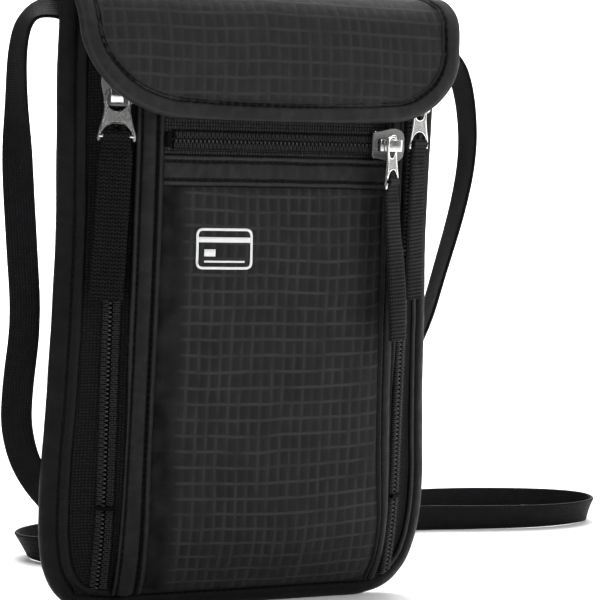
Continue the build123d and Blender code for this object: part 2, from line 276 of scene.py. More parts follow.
def rounded(points, radius, steps=4):
    """A flat outline with its corners rounded."""
    points = [np.array(p[:2], float) for p in points]
    out = []
    for before, here, after in zip(points[-1:] + points[:-1], points, points[1:] + points[:1]):
        into, away = unit(before - here), unit(after - here)
        half = math.acos(float(np.clip(into @ away, -1, 1))) / 2
        room = 0.48 * min(np.linalg.norm(before - here), np.linalg.norm(after - here))
        reach = min(radius / math.tan(half), room)
        a, b = here + into * reach, here + away * reach
        for t in np.linspace(0, 1, steps + 1):
            out.append(a * (1 - t) ** 2 + 2 * here * t * (1 - t) + b * t**2)
    return out


def box(x0, x1, z0, z1, radius, steps):
    """An upright rectangle with rounded corners."""
    return rounded([(x0, z0), (x1, z0), (x1, z1), (x0, z1)], radius, steps)


def plate(outlines, low, high, bevel=0.2, steps=2):
    """A bevelled plate in the x, z plane from y low to y high. The first outline is its edge, the others are holes."""
    curve = bpy.data.curves.new("plate", "CURVE")
    curve.dimensions, curve.fill_mode = "2D", "BOTH"
    curve.extrude, curve.bevel_depth, curve.bevel_resolution = (high - low) / 2 - bevel, bevel, steps
    curve.offset = -bevel
    for outline in outlines:
        s = curve.splines.new("POLY")
        s.points.add(len(outline) - 1)
        for p, q in zip(s.points, outline):
            p.co = (q[0], q[1], 0, 1)
        s.use_cyclic_u = True
    made = put("plate", curve)
    mesh = bpy.data.meshes.new_from_object(made.evaluated_get(bpy.context.evaluated_depsgraph_get()))
    bpy.data.objects.remove(made)
    bm = bmesh.new()
    bm.from_mesh(mesh)
    bmesh.ops.remove_doubles(bm, verts=bm.verts, dist=0.002)
    bmesh.ops.recalc_face_normals(bm, faces=bm.faces)
    bm.to_mesh(mesh)
    bm.free()
    v = np.array([x.co for x in mesh.vertices], float)
    faces = [tuple(p.vertices) for p in mesh.polygons]
    bpy.data.meshes.remove(mesh)
    corners = sum(len(f) for f in faces)
    return np.stack([v[:, 0], (low + high) / 2 - v[:, 2], v[:, 1]], axis=1), faces, np.zeros((corners, 2))


def rod(path, radius, sides=10, side=(1.0, 0.0, 0.0)):
    """A round bar along a path."""
    path = np.array(path, float)
    forward = unit(np.gradient(path, axis=0))
    across = unit(np.cross(alike(side, path), forward))
    turn = np.arange(sides) * 2 * math.pi / sides
    section = np.stack([np.cos(turn), np.sin(turn)], axis=1) * radius
    return sweep(path, across, unit(np.cross(forward, across)), section)


# ---------------------------------------------------------------- materials
class Shader:
    """A material under construction: every call adds one node and gives back its first output."""

    def __init__(self, name, color, rough, specular, metal=0.0, sheen=0.0, uv=True):
        self.material = bpy.data.materials.new(name)
        self.material.use_nodes = True
        self.tree = self.material.node_tree
        self.shader = self.tree.nodes["Principled BSDF"]
        self.base = self.color = color
        for key, value in (
            ("Base Color", (*color, 1)),
            ("Roughness", rough),
            ("Metallic", metal),
            ("Specular IOR Level", specular),
            ("Sheen Weight", sheen),
            ("Sheen Roughness", 0.4),
        ):
            self.shader.inputs[key].default_value = value
        self.height = None
        if uv:
            source = self.tree.nodes.new("ShaderNodeUVMap")
            source.uv_map = "weave"
            self.place = source.outputs["UV"]
        else:
            scaled = self.tree.nodes.new("ShaderNodeVectorMath")
            scaled.operation = "SCALE"
            scaled.inputs["Scale"].default_value = 1 / MM
            self.tree.links.new(self.tree.nodes.new("ShaderNodeTexCoord").outputs["Object"], scaled.inputs[0])
            self.place = scaled.outputs[0]
        parts = self.tree.nodes.new("ShaderNodeSeparateXYZ")
        self.tree.links.new(self.place, parts.inputs[0])
        self.u, self.v, self.w = parts.outputs

    def node(self, kind, *inputs, **settings):
        made = self.tree.nodes.new("ShaderNode" + kind)
        for key, value in settings.items():
            setattr(made, key, value)
        for socket, value in zip(made.inputs, inputs):
            if isinstance(value, bpy.types.NodeSocket):
                self.tree.links.new(value, socket)
            else:
                socket.default_value = value
        return made.outputs[0]

    def math(self, operation, a, b=0.0, c=0.0):
        return self.node("Math", a, b, c, operation=operation)

    def noise(self, scale, detail=2.0, rough=0.5, stretch=None):
        place = self.place
        if stretch:
            place = self.node("VectorMath", place, stretch, operation="MULTIPLY")
        made = self.tree.nodes.new("ShaderNodeTexNoise")
        self.tree.links.new(place, made.inputs["Vector"])
        made.inputs["Scale"].default_value = scale
        made.inputs["Detail"].default_value = detail
        made.inputs["Roughness"].default_value = rough
        return made.outputs[0]

    def patches(self, scale, detail, low, high, **noise_settings):
        """Soft spots: 0 where the noise is under low, 1 where it is over high."""
        return self.scaled(self.noise(scale, detail, **noise_settings), low, high)

    def wave(self, x, period):
        """0 to 1 and back over each period."""
        turned = self.math("MULTIPLY", x, 2 * math.pi / period)
        return self.math("MULTIPLY_ADD", self.math("COSINE", turned), 0.5, 0.5)

    def zigzag(self, period):
        """0.5 at the edges of each column of that width and 0 in its middle."""
        share = self.math("FRACT", self.math("MULTIPLY", self.u, 1 / period))
        return self.math("ABSOLUTE", self.math("SUBTRACT", share, 0.5))

    def bars(self, x, period, width, soft=0.25, shift=0.0):
        """1 on a line of that width in each period, 0 between."""
        share = self.math("FRACT", self.math("MULTIPLY_ADD", x, 1 / period, 0.5 + shift / period))
        off = self.math("ABSOLUTE", self.math("SUBTRACT", share, 0.5))
        return self.scaled(off, width / period / 2, width / period / 2 + soft / period, 1, 0)

    def scaled(self, x, low, high, to_low=0.0, to_high=1.0):
        return self.node("MapRange", x, low, high, to_low, to_high, interpolation_type="SMOOTHSTEP")

    def weave(self, pitch):
        """The over and under of a plain weave."""
        a, b = (self.math("SINE", self.math("MULTIPLY", x, math.pi / pitch)) for x in (self.u, self.v))
        return self.math("MULTIPLY", a, b)

    def tint(self, mask, color, amount=1.0):
        """Paints color where mask is 1."""
        mix = self.tree.nodes.new("ShaderNodeMix")
        mix.data_type = "RGBA"
        if isinstance(self.color, bpy.types.NodeSocket):
            self.tree.links.new(self.color, mix.inputs[6])
        else:
            mix.inputs[6].default_value = (*self.color, 1)
        mix.inputs[7].default_value = (*color, 1)
        self.tree.links.new(self.math("MULTIPLY", mask, amount), mix.inputs[0])
        self.color = mix.outputs[2]
        self.tree.links.new(self.color, self.shader.inputs["Base Color"])
        return self

    def shade(self, mask, times, amount):
        """Paints the base colour, made lighter or darker, where mask is 1."""
        return self.tint(mask, tuple(c * times for c in self.base), amount)

    def rougher(self, mask, low, high):
        self.tree.links.new(self.scaled(mask, 0, 1, low, high), self.shader.inputs["Roughness"])
        return self

    def relief(self, height, millimetres):
        """Adds a bump of that height."""
        made = self.tree.nodes.new("ShaderNodeBump")
        made.inputs["Strength"].default_value = 1.0
        made.inputs["Distance"].default_value = millimetres * MM
        self.tree.links.new(height, made.inputs["Height"])
        if self.height:
            self.tree.links.new(self.height, made.inputs["Normal"])
        self.height = made.outputs[0]
        self.tree.links.new(self.height, self.shader.inputs["Normal"])
        return self


# Thread pitches of the cloths in millimetres, and the ripstop's grid across and along.
COATED_PITCH, PLAIN_PITCH = 0.42, 0.36
GRID_PITCH = (3.8, 5.2)
CLOTH_SHEEN = 0.008


def ripstop(name, color, line, shaded_shoulder=None):
    """Thin coated nylon with thicker threads in a grid. Given a shoulder, painted shade darkens the cloth from its left
    edge to a few millimetres past the shoulder and fades the grid there, where the side turns away from the light.
    """
    across, along = GRID_PITCH
    s = Shader(name, color, 0.42, specular=0.04)
    drift = s.noise(0.05, 3)
    u = s.math("MULTIPLY_ADD", drift, 1.6, s.u)
    v = s.math("MULTIPLY_ADD", s.noise(0.03, 2, stretch=(1, 0.5, 1)), 3.4, s.v)
    worn_u = s.scaled(s.noise(0.22, 3, stretch=(1.0, 0.35, 1)), 0.3, 0.62, 0.25, 1.0)
    worn_v = s.scaled(s.noise(0.26, 3, stretch=(0.35, 1.0, 1)), 0.28, 0.6, 0.35, 1.0)
    up = s.math("MULTIPLY", s.bars(u, across, 0.55, 0.7), s.math("MULTIPLY", worn_u, 0.7))
    level = s.math("MULTIPLY", s.bars(v, along, 0.55, 0.42), worn_v)
    faint = s.math("MULTIPLY", s.bars(u, across, 0.2, 0.5, 1.3), s.math("MULTIPLY", worn_u, 0.22))
    grid = s.math("MAXIMUM", s.math("MAXIMUM", up, level), faint)
    # painted shade: darkens the cloth near the left edge and fades the grid lines there
    if shaded_shoulder:
        from_left = s.math("MULTIPLY_ADD", drift, 4.0, s.u)
        grid = s.math("MULTIPLY", grid, s.scaled(from_left, shaded_shoulder + 2.5, shaded_shoulder + 6.5, 0.05, 1))
        s.shade(s.scaled(from_left, shaded_shoulder - 0.5, shaded_shoulder + 6.0, 1, 0), 0.1, 0.95)
    s.shade(s.patches(0.09, 4, 0.3, 0.75), 1.35, 0.8)
    s.shade(s.weave(COATED_PITCH), 1.25, 0.35)
    s.tint(grid, line)
    s.rougher(s.math("MULTIPLY_ADD", grid, -0.5, s.noise(0.5, 3)), 0.58, 0.4)
    s.relief(s.weave(COATED_PITCH), 0.035)
    s.relief(grid, 0.09)
    s.relief(s.noise(0.16, 4, 0.55), 0.55)
    return s.material


def plain(name, color, pitch=PLAIN_PITCH, rough=0.5, crease=0.4, specular=0.05):
    """Close plain weave with soft creases."""
    s = Shader(name, color, rough, specular=specular, sheen=CLOTH_SHEEN)
    s.shade(s.patches(0.12, 4, 0.3, 0.75), 1.4, 0.7)
    s.shade(s.weave(pitch), 1.3, 0.4)
    s.rougher(s.noise(0.35, 3), rough + 0.1, rough - 0.12)
    s.relief(s.weave(pitch), 0.04)
    s.relief(s.noise(0.3, 3, 0.55, stretch=(1, 0.5, 1)), crease)
    return s.material


def seamed(name, color, dark, light, stitch_pitch=STITCH_PITCH):
    """Plain weave whose U runs across a sewn strip: painted shade in its grooves, deepest at each stitch, and painted
    highlights on its folds.
    """
    s = Shader(name, color, 0.46, specular=0.06, sheen=CLOTH_SHEEN)
    s.shade(s.patches(0.12, 4, 0.3, 0.75), 1.5, 0.8)
    s.shade(s.patches(0.3, 2, 0.42, 0.7, stretch=(0.5, 1, 1)), 1.9, 0.6)
    s.shade(s.weave(PLAIN_PITCH), 1.3, 0.4)
    jitter = s.math("MULTIPLY_ADD", s.noise(0.9, 2), 0.7, -0.35)
    stitch = s.math("MULTIPLY_ADD", s.wave(s.v, stitch_pitch), 0.45, 0.62)
    # painted highlights along the folds (light) and painted shade along the grooves (dark), deepest at each stitch
    for spots, times, amount in ((light, 2.2, 0.6), (dark, 0.08, 1.0)):
        for place, half in spots:
            off = s.math("ABSOLUTE", s.math("ADD", s.math("SUBTRACT", s.u, place), jitter))
            mask = s.scaled(off, half * 0.4, half * 1.15, 1, 0)
            s.shade(s.math("MULTIPLY", mask, stitch) if spots is dark else mask, times, amount)
    s.rougher(s.noise(0.35, 3), 0.56, 0.36)
    s.relief(s.weave(PLAIN_PITCH), 0.04)
    s.relief(s.noise(0.3, 3, 0.55, stretch=(1, 0.4, 1)), 0.5)
    return s.material


def ribbed(name, color, rib, warp, high, rough=0.55, depth=0.2):
    """Ribbon: cross ribs bound by lengthwise threads, their raised crests painted lighter as a highlight."""
    s = Shader(name, color, rough, specular=0.05, sheen=CLOTH_SHEEN)
    ribs = s.wave(s.v, rib)
    columns = s.wave(s.u, warp)
    sway = s.math("SINE", s.math("MULTIPLY", s.u, math.pi / warp))
    staggered = s.wave(s.math("MULTIPLY_ADD", sway, rib * 0.25, s.v), rib)
    # painted highlight on the raised rib crests
    s.tint(s.math("MULTIPLY", staggered, s.math("MULTIPLY_ADD", columns, 0.7, 0.3)), high, 0.9)
    s.shade(s.patches(0.5, 4, 0.35, 0.8), 0.6, 0.5)
    s.rougher(ribs, rough + 0.1, rough - 0.05)
    s.relief(columns, depth * 0.5)
    s.relief(staggered, depth)
    s.relief(s.noise(3.0, 2), 0.04)
    return s.material


def knitted(name, color, high):
    """Zip tape: columns of small chevron stitches with deep gaps between them."""
    s = Shader(name, color, 0.6, specular=0.05, sheen=CLOTH_SHEEN)
    swing = s.zigzag(1.15)
    stitch = s.wave(s.math("MULTIPLY_ADD", swing, 0.8, s.v), 0.98)
    column = s.scaled(swing, 0.02, 0.2)
    worn = s.scaled(s.noise(0.9, 3), 0.3, 0.65, 0.35, 1)
    loops = s.math("MULTIPLY", s.math("MULTIPLY", stitch, column), worn)
    s.tint(loops, high, 0.9)
    s.rougher(loops, 0.7, 0.5)
    s.relief(loops, 0.22)
    s.relief(s.noise(3.0, 2), 0.05)
    return s.material


def webbing(name, color, high):
    """Flat tubular strap: fine ribs lengthwise, a shallow chevron between them and firm selvedges."""
    s = Shader(name, color, 0.55, specular=0.05, sheen=0.01)
    column = s.wave(s.u, 0.9)
    chevron = s.wave(s.math("MULTIPLY_ADD", s.zigzag(1.8), 1.5, s.v), 0.85)
    cloth = s.math("MULTIPLY", column, chevron)
    s.tint(cloth, high, 0.85)
    s.shade(s.patches(0.25, 4, 0.3, 0.8), 0.5, 0.5)
    s.rougher(s.noise(0.6, 3), 0.65, 0.45)
    s.relief(column, 0.08)
    s.relief(chevron, 0.09)
    s.relief(s.noise(0.4, 3), 0.15)
    return s.material


def thread_stuff(name, color, rough=0.5):
    """Twisted thread or filament, placed by the object's own coordinates."""
    s = Shader(name, color, rough, specular=0.12, sheen=0.01, uv=False)
    twist = s.wave(s.math("ADD", s.math("ADD", s.u, s.v), s.w), 0.35)
    s.shade(twist, 1.6, 0.5)
    s.rougher(s.noise(1.5, 2), rough + 0.12, rough - 0.12)
    s.relief(twist, 0.03)
    return s.material


def filament(name, color, specular=0.14):
    """Nylon filament of a zip coil, dusted in its hollows."""
    s = Shader(name, color, 0.36, specular=specular, uv=False)
    s.shade(s.patches(1.2, 3, 0.4, 0.75), 2.2, 0.6)
    s.rougher(s.noise(2.0, 3), 0.45, 0.25)
    s.relief(s.noise(5.0, 2), 0.02)
    return s.material


def nickel(name, color, rough, grain):
    """Plated zinc: a thin waviness from the mould, fine scuffs and, on recessed faces, a cast grain."""
    s = Shader(name, color, rough, specular=0.5, metal=1.0, uv=False)
    s.shade(s.patches(0.35, 4, 0.45, 0.8), 0.72, 0.5)
    s.rougher(s.noise(1.6, 5, 0.65, stretch=(1, 1, 0.3)), rough * 0.7, rough * 1.4)
    s.relief(s.noise(0.45, 2), 0.06)
    s.relief(s.noise(3.2 if grain else 14.0, 4, 0.7), 0.16 if grain else 0.006)
    return s.material


def moulded(name, color):
    """Hard plastic with a fine matt texture."""
    s = Shader(name, color, 0.42, specular=0.4, uv=False)
    s.shade(s.patches(0.8, 3, 0.4, 0.8), 1.5, 0.5)
    s.rougher(s.noise(1.2, 4), 0.55, 0.35)
    s.relief(s.noise(4.0, 3), 0.03)
    return s.material


def foil_cloth(name, color):
    """Woven metal-coated shielding cloth."""
    s = Shader(name, color, 0.42, specular=0.5, metal=0.6)
    s.shade(s.weave(0.3), 0.6, 0.6)
    s.shade(s.patches(0.1, 4, 0.3, 0.8), 0.75, 0.6)
    s.relief(s.weave(0.3), 0.04)
    s.relief(s.noise(0.2, 4), 0.4)
    return s.material


def print_ink(name, color):
    """Matt rubbery print that lets the cloth's weave through."""
    s = Shader(name, color, 0.6, specular=0.3)
    s.shade(s.patches(1.4, 4, 0.62, 0.8), 0.55, 0.5)
    s.shade(s.weave(COATED_PITCH), 0.8, 0.35)
    s.relief(s.weave(COATED_PITCH), 0.04)
    return s.material


def pile(name, color, high):
    """Brushed nylon pile."""
    s = Shader(name, color, 0.75, specular=0.15, sheen=0.35, uv=False)
    s.tint(s.patches(2.4, 5, 0.4, 0.7, rough=0.7), high, 0.8)
    s.relief(s.noise(2.2, 6, 0.75), 0.5)
    return s.material


def grey(value, blue=0.0):
    return (value, value, value + blue)


CLOTH = ripstop("ripstop_nylon", grey(0.0185, 0.0009), grey(0.0350, 0.0012))
# The pocket front's ripstop, with painted shade along its left shoulder.
PANEL_CLOTH = ripstop("ripstop_panel", grey(0.0150, 0.0008), grey(0.0370, 0.0012), shaded_shoulder=6.0)
# For the seamed strips: where painted shade darkens the grooves and painted highlights lighten the folds, as (distance
# across, half width).
BINDING = seamed("binding_nylon", grey(0.0062, 0.0005), [(4.8, 0.55), (8.1, 0.5)], [(6.9, 0.6)])
FLAP_EDGE = seamed("flap_binding_nylon", grey(0.0160, 0.0008), [(5.85, 1.0)], [(6.9, 0.35), (0.9, 0.6)], FLAP_PITCH)
WELT_PAINTED_SHADE, WELT_PAINTED_HIGHLIGHTS = [(-0.85, 0.4), (1.2, 0.45), (6.35, 0.75)], [(0.1, 0.42), (7.5, 0.3)]
WELT = seamed("welt_nylon", grey(0.0125, 0.0007), WELT_PAINTED_SHADE, WELT_PAINTED_HIGHLIGHTS)
BAND_PAINTED_SHADE, BAND_PAINTED_HIGHLIGHTS = [(2.05, 0.72), (7.9, 0.72), (0.0, 0.25), (9.9, 0.3)], [(1.0, 0.5), (8.8, 0.5)]
BAND = seamed("band_nylon", grey(0.0165, 0.0008), BAND_PAINTED_SHADE, BAND_PAINTED_HIGHLIGHTS)
SMOOTH = plain("plain_nylon", grey(0.0110, 0.0007), crease=0.45)
TAPE = knitted("zip_tape", grey(0.0030, 0.0003), grey(0.0230, 0.0012))
# The level zip's tape is a lighter copy of the side zips' tape: a lighter ground with painted highlights on its loops.
FRONT_TAPE_LIT = knitted("front_zip_tape", grey(0.0050, 0.0003), grey(0.0800, 0.0020))
RIBBON = ribbed("ribbon", grey(0.0026, 0.0003), RIB, 0.75, grey(0.0230, 0.0010))
STRAP = webbing("webbing", grey(0.0040, 0.0007), grey(0.0175, 0.0017))
COIL = filament("zip_coil", grey(0.0230, 0.0008))
BED = plain("zip_coil_bed", grey(0.0022, 0.0002), pitch=0.5, rough=0.7, crease=0.3, specular=0.04)
# The coil heads take a lighter copy of the filament: a painted highlight.
COIL_HEAD_HIGHLIGHT = filament("zip_coil_head_highlight", grey(0.0480, 0.0020), 0.45)
THREAD = thread_stuff("thread", grey(0.0032, 0.0002))
METAL = nickel("nickel", (0.78, 0.775, 0.765), 0.13, False)
# A darker copy of the nickel for the pulls' grainy recessed faces: painted shade.
CAST_SHADED = nickel("nickel_grain_painted_shade", (0.24, 0.238, 0.235), 0.26, True)
# A darker copy of the nickel for the sliders' top plates: painted shade.
SHADED = nickel("nickel_painted_shade", (0.17, 0.169, 0.167), 0.3, True)
PLASTIC = moulded("moulded_plastic", grey(0.012))
LINING = plain("lining", grey(0.020, 0.002), pitch=0.28, rough=0.42, crease=0.25)
FOIL = foil_cloth("shield_cloth", (0.42, 0.43, 0.45))
PRINT = print_ink("white_print", grey(0.86))
HOOKS = thread_stuff("hook_tape", grey(0.016, 0.001), 0.4)
PILE = pile("loop_tape", grey(0.010, 0.001), grey(0.035, 0.002))




# ---------------------------------------------------------------- camera, light and floor
def camera():
    """The photograph's view: from the left in front, a little above, level to within two degrees."""
    data = bpy.data.cameras.new("camera")
    data.lens, data.sensor_width = 160.8, 36.0
    data.clip_start, data.clip_end = 0.05, 50
    made = put("camera", data)
    yaw, down, roll = math.radians(-28.17), math.radians(4.85), math.radians(2.28)
    made.location = (-0.4012, -0.7873, 0.1770)
    turn = Matrix.Rotation(yaw, 4, "Z") @ Matrix.Rotation(math.pi / 2 - down, 4, "X") @ Matrix.Rotation(roll, 4, "Z")
    made.rotation_euler = turn.to_euler()
    scene.camera = made


def softbox(name, spot, aim, size, watts):
    """A rectangular area light at a spot, aimed at a point."""
    data = bpy.data.lights.new(name, "AREA")
    data.shape, data.size, data.size_y = "RECTANGLE", size[0], size[1]
    data.energy = watts
    made = put(name, data)
    made.location = spot
    made.rotation_euler = (Vector(aim) - Vector(spot)).to_track_quat("-Z", "Y").to_euler()


def studio():
    """A white sweep behind the pouch, soft boxes round it and a plain sky that is dimmer behind the camera."""
    world = bpy.data.worlds.new("sky")
    scene.world = world
    world.use_nodes = True
    tree = world.node_tree
    spot = tree.nodes.new("ShaderNodeTexCoord").outputs["Generated"]
    lean = tree.nodes.new("ShaderNodeVectorMath")
    lean.operation = "DOT_PRODUCT"
    lean.inputs[1].default_value = (0.80, 0.58, 0.15)
    level = tree.nodes.new("ShaderNodeMapRange")
    level.interpolation_type = "SMOOTHSTEP"
    for socket, value in zip(level.inputs[1:5], (-0.6, 0.85, 0.03, 0.5)):
        socket.default_value = value
    tree.links.new(spot, lean.inputs[0])
    tree.links.new(lean.outputs["Value"], level.inputs[0])
    tree.links.new(level.outputs[0], tree.nodes["Background"].inputs["Strength"])
    tree.nodes["Background"].inputs["Color"].default_value = (1, 1, 1, 1)

    mesh = bpy.data.meshes.new("sweep")
    back, radius, wide = 4.2, 1.2, 4.5
    line = [(-3.5, 0.0), (back - radius, 0.0)]
    for a in np.linspace(0.1, math.pi / 2, 14):
        line.append((back - radius + radius * math.sin(a), radius - radius * math.cos(a)))
    line.append((back, 2.6))
    turn = Matrix.Rotation(math.radians(-27), 4, "Z")
    verts = [turn @ Vector((x, y, z)) for x in (-wide, wide) for y, z in line]
    n = len(line)
    mesh.from_pydata([tuple(v) for v in verts], [], [(i, i + n, i + n + 1, i + 1) for i in range(n - 1)])
    mesh.polygons.foreach_set("use_smooth", [True] * len(mesh.polygons))
    paper = Shader("paper", (0.93, 0.93, 0.93), 0.75, specular=0.1, uv=False)
    paper.relief(paper.noise(0.4, 4), 0.02)
    mesh.materials.append(paper.material)
    put("floor", mesh)

    softbox("key", (0.7, -1.15, 0.95), (0.0, 0.0, 0.14), (0.7, 0.8), 12)
    softbox("side", (1.3, 0.22, 0.24), (0.03, 0.0, 0.13), (1.0, 0.4), 3.0)
    softbox("left", (-1.25, -0.35, 0.75), (0.02, 0.0, 0.1), (0.35, 0.9), 4.5)
    softbox("top", (0.1, 0.6, 1.6), (0.1, 0.3, 0.1), (1.6, 1.2), 30)
    softbox("backdrop", (1.0, 2.0, 2.6), (1.6, 3.2, 0.2), (3.4, 1.6), 230)


camera()
studio()


# ---------------------------------------------------------------- the neck strap
STRAP_ROUTE = [
    (-63.5, 5.4, 194.6), (-71.5, 6.0, 194.9), (-78.4, 7.2, 191.2), (-80.6, 8.0, 181.0), (-80.2, 8.0, 163.0),
    (-79.0, 8.0, 141.0), (-76.8, 8.0, 118.0), (-74.4, 8.2, 94.0), (-76.6, 8.6, 73.0), (-76.4, 9.4, 58.0),
    (-70.0, 11.4, 43.0), (-54.0, 15.0, 28.0), (-36.0, 19.6, 13.0), (-14.0, 24.0, 5.4), (12.0, 28.0, 5.0),
    (30.0, 32.5, 5.0), (41.0, 43.0, 5.0), (39.0, 57.0, 5.0), (24.0, 65.0, 5.0), (-1.0, 68.0, 5.0),
    (-26.0, 73.0, 5.0), (-39.0, 84.0, 5.0), (-38.0, 98.0, 5.0), (-24.0, 107.0, 5.0), (6.0, 114.0, 5.0),
    (46.0, 121.0, 5.0), (90.0, 131.0, 5.0), (132.0, 141.5, 5.0), (168.0, 144.0, 5.0), (196.0, 138.0, 5.0),
    (213.0, 130.0, 5.0), (220.0, 116.5, 5.0), (212.5, 103.0, 5.0), (189.0, 96.5, 5.0), (160.0, 100.0, 5.0),
    (134.0, 106.5, 5.0), (108.0, 105.0, 5.0), (84.0, 94.0, 6.0), (67.0, 76.0, 12.0), (61.0, 57.0, 26.0),
    (62.0, 39.0, 45.0), (67.0, 22.0, 66.0), (74.6, 10.4, 89.0), (79.0, 8.0, 110.0), (85.0, 7.6, 131.0),
    (88.2, 7.4, 150.0), (86.8, 7.2, 167.0), (82.2, 7.0, 181.0), (74.6, 6.4, 191.4), (63.5, 5.4, 194.6),
]  # fmt: skip
STRAP_HALF, STRAP_THICK = 5.0, 0.68
ADJUSTER_SPOT = 19
# Which way the strap's width points at some points of the route.
STRAP_LIE = [
    (0, (0.1, 0.25, 0.95)), (1, (-0.1, 0.8, 0.6)), (2, (-0.15, 1, 0.05)), (3, (-0.2, 1, 0)), (4, (-0.4, 0.9, 0)),
    (5, (-0.88, 0.47, 0)), (6, (-0.95, 0.3, 0)), (7, (-0.97, 0.2, 0)), (8, (-0.9, 0.4, 0)), (9, (-0.9, 0.4, -0.1)),
    (10, (-0.75, 0.5, -0.35)), (11, (-0.5, 0.4, -0.7)), (12, (-0.3, 0.2, -0.9)), (13, (0, 0, -1)), (36, (0, 0, -1)),
    (37, (0.1, -0.2, -1)), (38, (0.1, -0.5, -0.85)), (39, (0, -0.8, -0.6)), (40, (0, -0.95, -0.35)),
    (41, (0, -1, -0.1)), (42, (-0.1, -1, 0)), (44, (0.0, -1, 0)), (46, (0.15, -1, 0)), (47, (0.25, -0.95, -0.1)),
    (48, (0, -0.75, -0.65)), (49, (0.1, -0.25, -0.95)),
]  # fmt: skip


def strap_line():
    """The route's NURBS as dense points, with the place in the list of control points that each belongs to."""
    curve = bpy.data.curves.new("route", "CURVE")
    curve.dimensions, curve.resolution_u = "3D", 14
    s = curve.splines.new("NURBS")
    s.points.add(len(STRAP_ROUTE) - 1)
    for p, spot in zip(s.points, STRAP_ROUTE):
        p.co = (*(c * MM for c in spot), 1)
    s.order_u = 3
    s.use_endpoint_u = True
    made = put("route", curve)
    mesh = bpy.data.meshes.new_from_object(made.evaluated_get(bpy.context.evaluated_depsgraph_get()))
    points = np.array([v.co for v in mesh.vertices], float) / MM
    bpy.data.objects.remove(made)
    bpy.data.meshes.remove(mesh)
    count = len(STRAP_ROUTE)
    knots = np.concatenate([[0], np.arange(1, count - 1) - 0.5, [count - 2]])
    share = np.linspace(0, count - 2, len(points))
    return points, np.interp(share, knots, np.arange(count))


def strap_frame(points, where):
    """Across and outward directions of the flat strap at each point."""
    forward = unit(np.gradient(points, axis=0))
    lie = through(*[(i, *w) for i, w in STRAP_LIE])(where)
    across = unit(lie - forward * np.sum(lie * forward, axis=1, keepdims=True))
    return forward, across, unit(np.cross(forward, across))


def flat_section(half, thick, corner=0.5, count=7):
    """The outline of a pressed tube: flat faces and firm round edges."""
    turn = np.linspace(-math.pi / 2, math.pi / 2, count)
    right = [(half - corner + corner * math.cos(a), thick * math.sin(a)) for a in turn]
    top = [(x, thick) for x in np.linspace(half - corner, -half + corner, count)[1:-1]]
    left = [(-x, -y) for x, y in right]
    bottom = [(-x, -y) for x, y in top]
    return right + top + left + bottom


def neck_strap():
    """The flat tube of webbing along its route."""
    points, where = strap_line()
    _, across, out = strap_frame(points, where)
    section = np.array(flat_section(STRAP_HALF, STRAP_THICK), float)
    sections = np.repeat(section[None], len(points), axis=0)
    run = travelled(points)
    # The tube's middle sinks a little between its firm edges, and its faces ripple where it bends.
    inside = 1 - (section[:, 0] / STRAP_HALF) ** 2
    ripple = lumps(np.stack([run, run * 0, run * 0], axis=1), 14, 3)
    sections[..., 1] *= (1 - 0.28 * inside)[None]
    sections[..., 1] += 0.35 * ripple[:, None] * inside[None]
    part = sweep(points, across, out, sections)
    strap = piece("neck_strap", [part], POUCH, STRAP, replaces=["neck_strap"])
    return strap, points, where


def strap_pieces(points, where):
    """The three-bar adjuster, and the strap's doubled tail sewn down beside it."""
    at = int(np.argmin(np.abs(where - ADJUSTER_SPOT)))
    ahead = unit(strap_frame(points, where)[0][at] * np.array([1, 1, 0]))
    upward = np.array([0, 0, 1.0])
    place = np.eye(4)
    place[:3] = np.stack([ahead, np.cross(upward, ahead), upward, points[at]], axis=1)
    outer = box(-7.5, 7.5, -5.0, 8.2, 1.6, 6)
    windows = [box(a, b, -3.2, 6.4, 0.7, 4) for a, b in ((-5.7, -1.5), (1.5, 5.7))]
    ribs = [rod([(x, -1.7, -2.6), (x, -1.7, 5.8)], 0.3, 8) for x in (-0.7, 0.0, 0.7)]
    parts = [moved(p, place) for p in [plate([outer, *windows], -1.6, 1.6, 0.45, 3), *ribs]]
    adjuster = piece("strap_adjuster", parts, POUCH, PLASTIC, replaces=["strap_adjuster"], angle=50)
    line = np.array([(x, -3.2 - 0.15 * math.sin(x / 4), -0.1) for x in np.linspace(9, 30, 22)])
    tail = sweep(line, alike((0, 0, 1), line), alike((0, -1, 0), line), flat_section(4.9, 0.6))
    ends = [[(x, -3.84, z) for z in (-4.2, 4.2)] for x in (22, 25.5)]
    rows = [stitches(row, [(0, -1, 0)] * 2, 1.5, 1.1, 0.16) for row in ends]
    tail = piece("strap_tail", [moved(tail, place)], POUCH, STRAP, replaces=["strap_tail"])
    return [adjuster, tail, sewn("strap_tail_stitches", [moved(p, place) for p in rows])]


strap, strap_points, strap_where = neck_strap()
strap_extras = strap_pieces(strap_points, strap_where)


# ---------------------------------------------------------------- the front wall
# Lines that run down the front, as (height, x): they lean out towards the full lower half and in at the corners.
LEFT_RIM = through(
    (4, -56.0), (9, -58.0), (19, -60.9), (28, -62.1), (40, -62.3), (55, -61.8), (75, -61.2), (100, -60.9), (200, -60.9)
)  # fmt: skip
LEFT_PIPING = through((4, -47.4), (28, -47.8), (44, -47.5), (65, -47.0), (100, -46.5), (200, -46.5))
LEFT_SEAM = through((4, -36.5), (9, -37.0), (21, -38.2), (40, -39.3), (65, -39.2), (100, -38.7), (200, -39.0))
RIGHT_SEAM = through((4, 46.3), (15, 47.2), (26, 46.6), (44, 44.8), (65, 43.8), (90, 43.2), (200, 43.0))
RIGHT_PIPING = through((4, 51.2), (20, 51.5), (40, 50.8), (65, 50.1), (100, 49.6), (200, 49.6))
RIGHT_RIM = through(
    (4, 52.0), (9, 54.8), (14, 58.0), (19, 60.4), (30, 62.3), (42, 62.8), (60, 62.3), (85, 61.7), (110, 61.2),
    (200, 61.2)
)  # fmt: skip
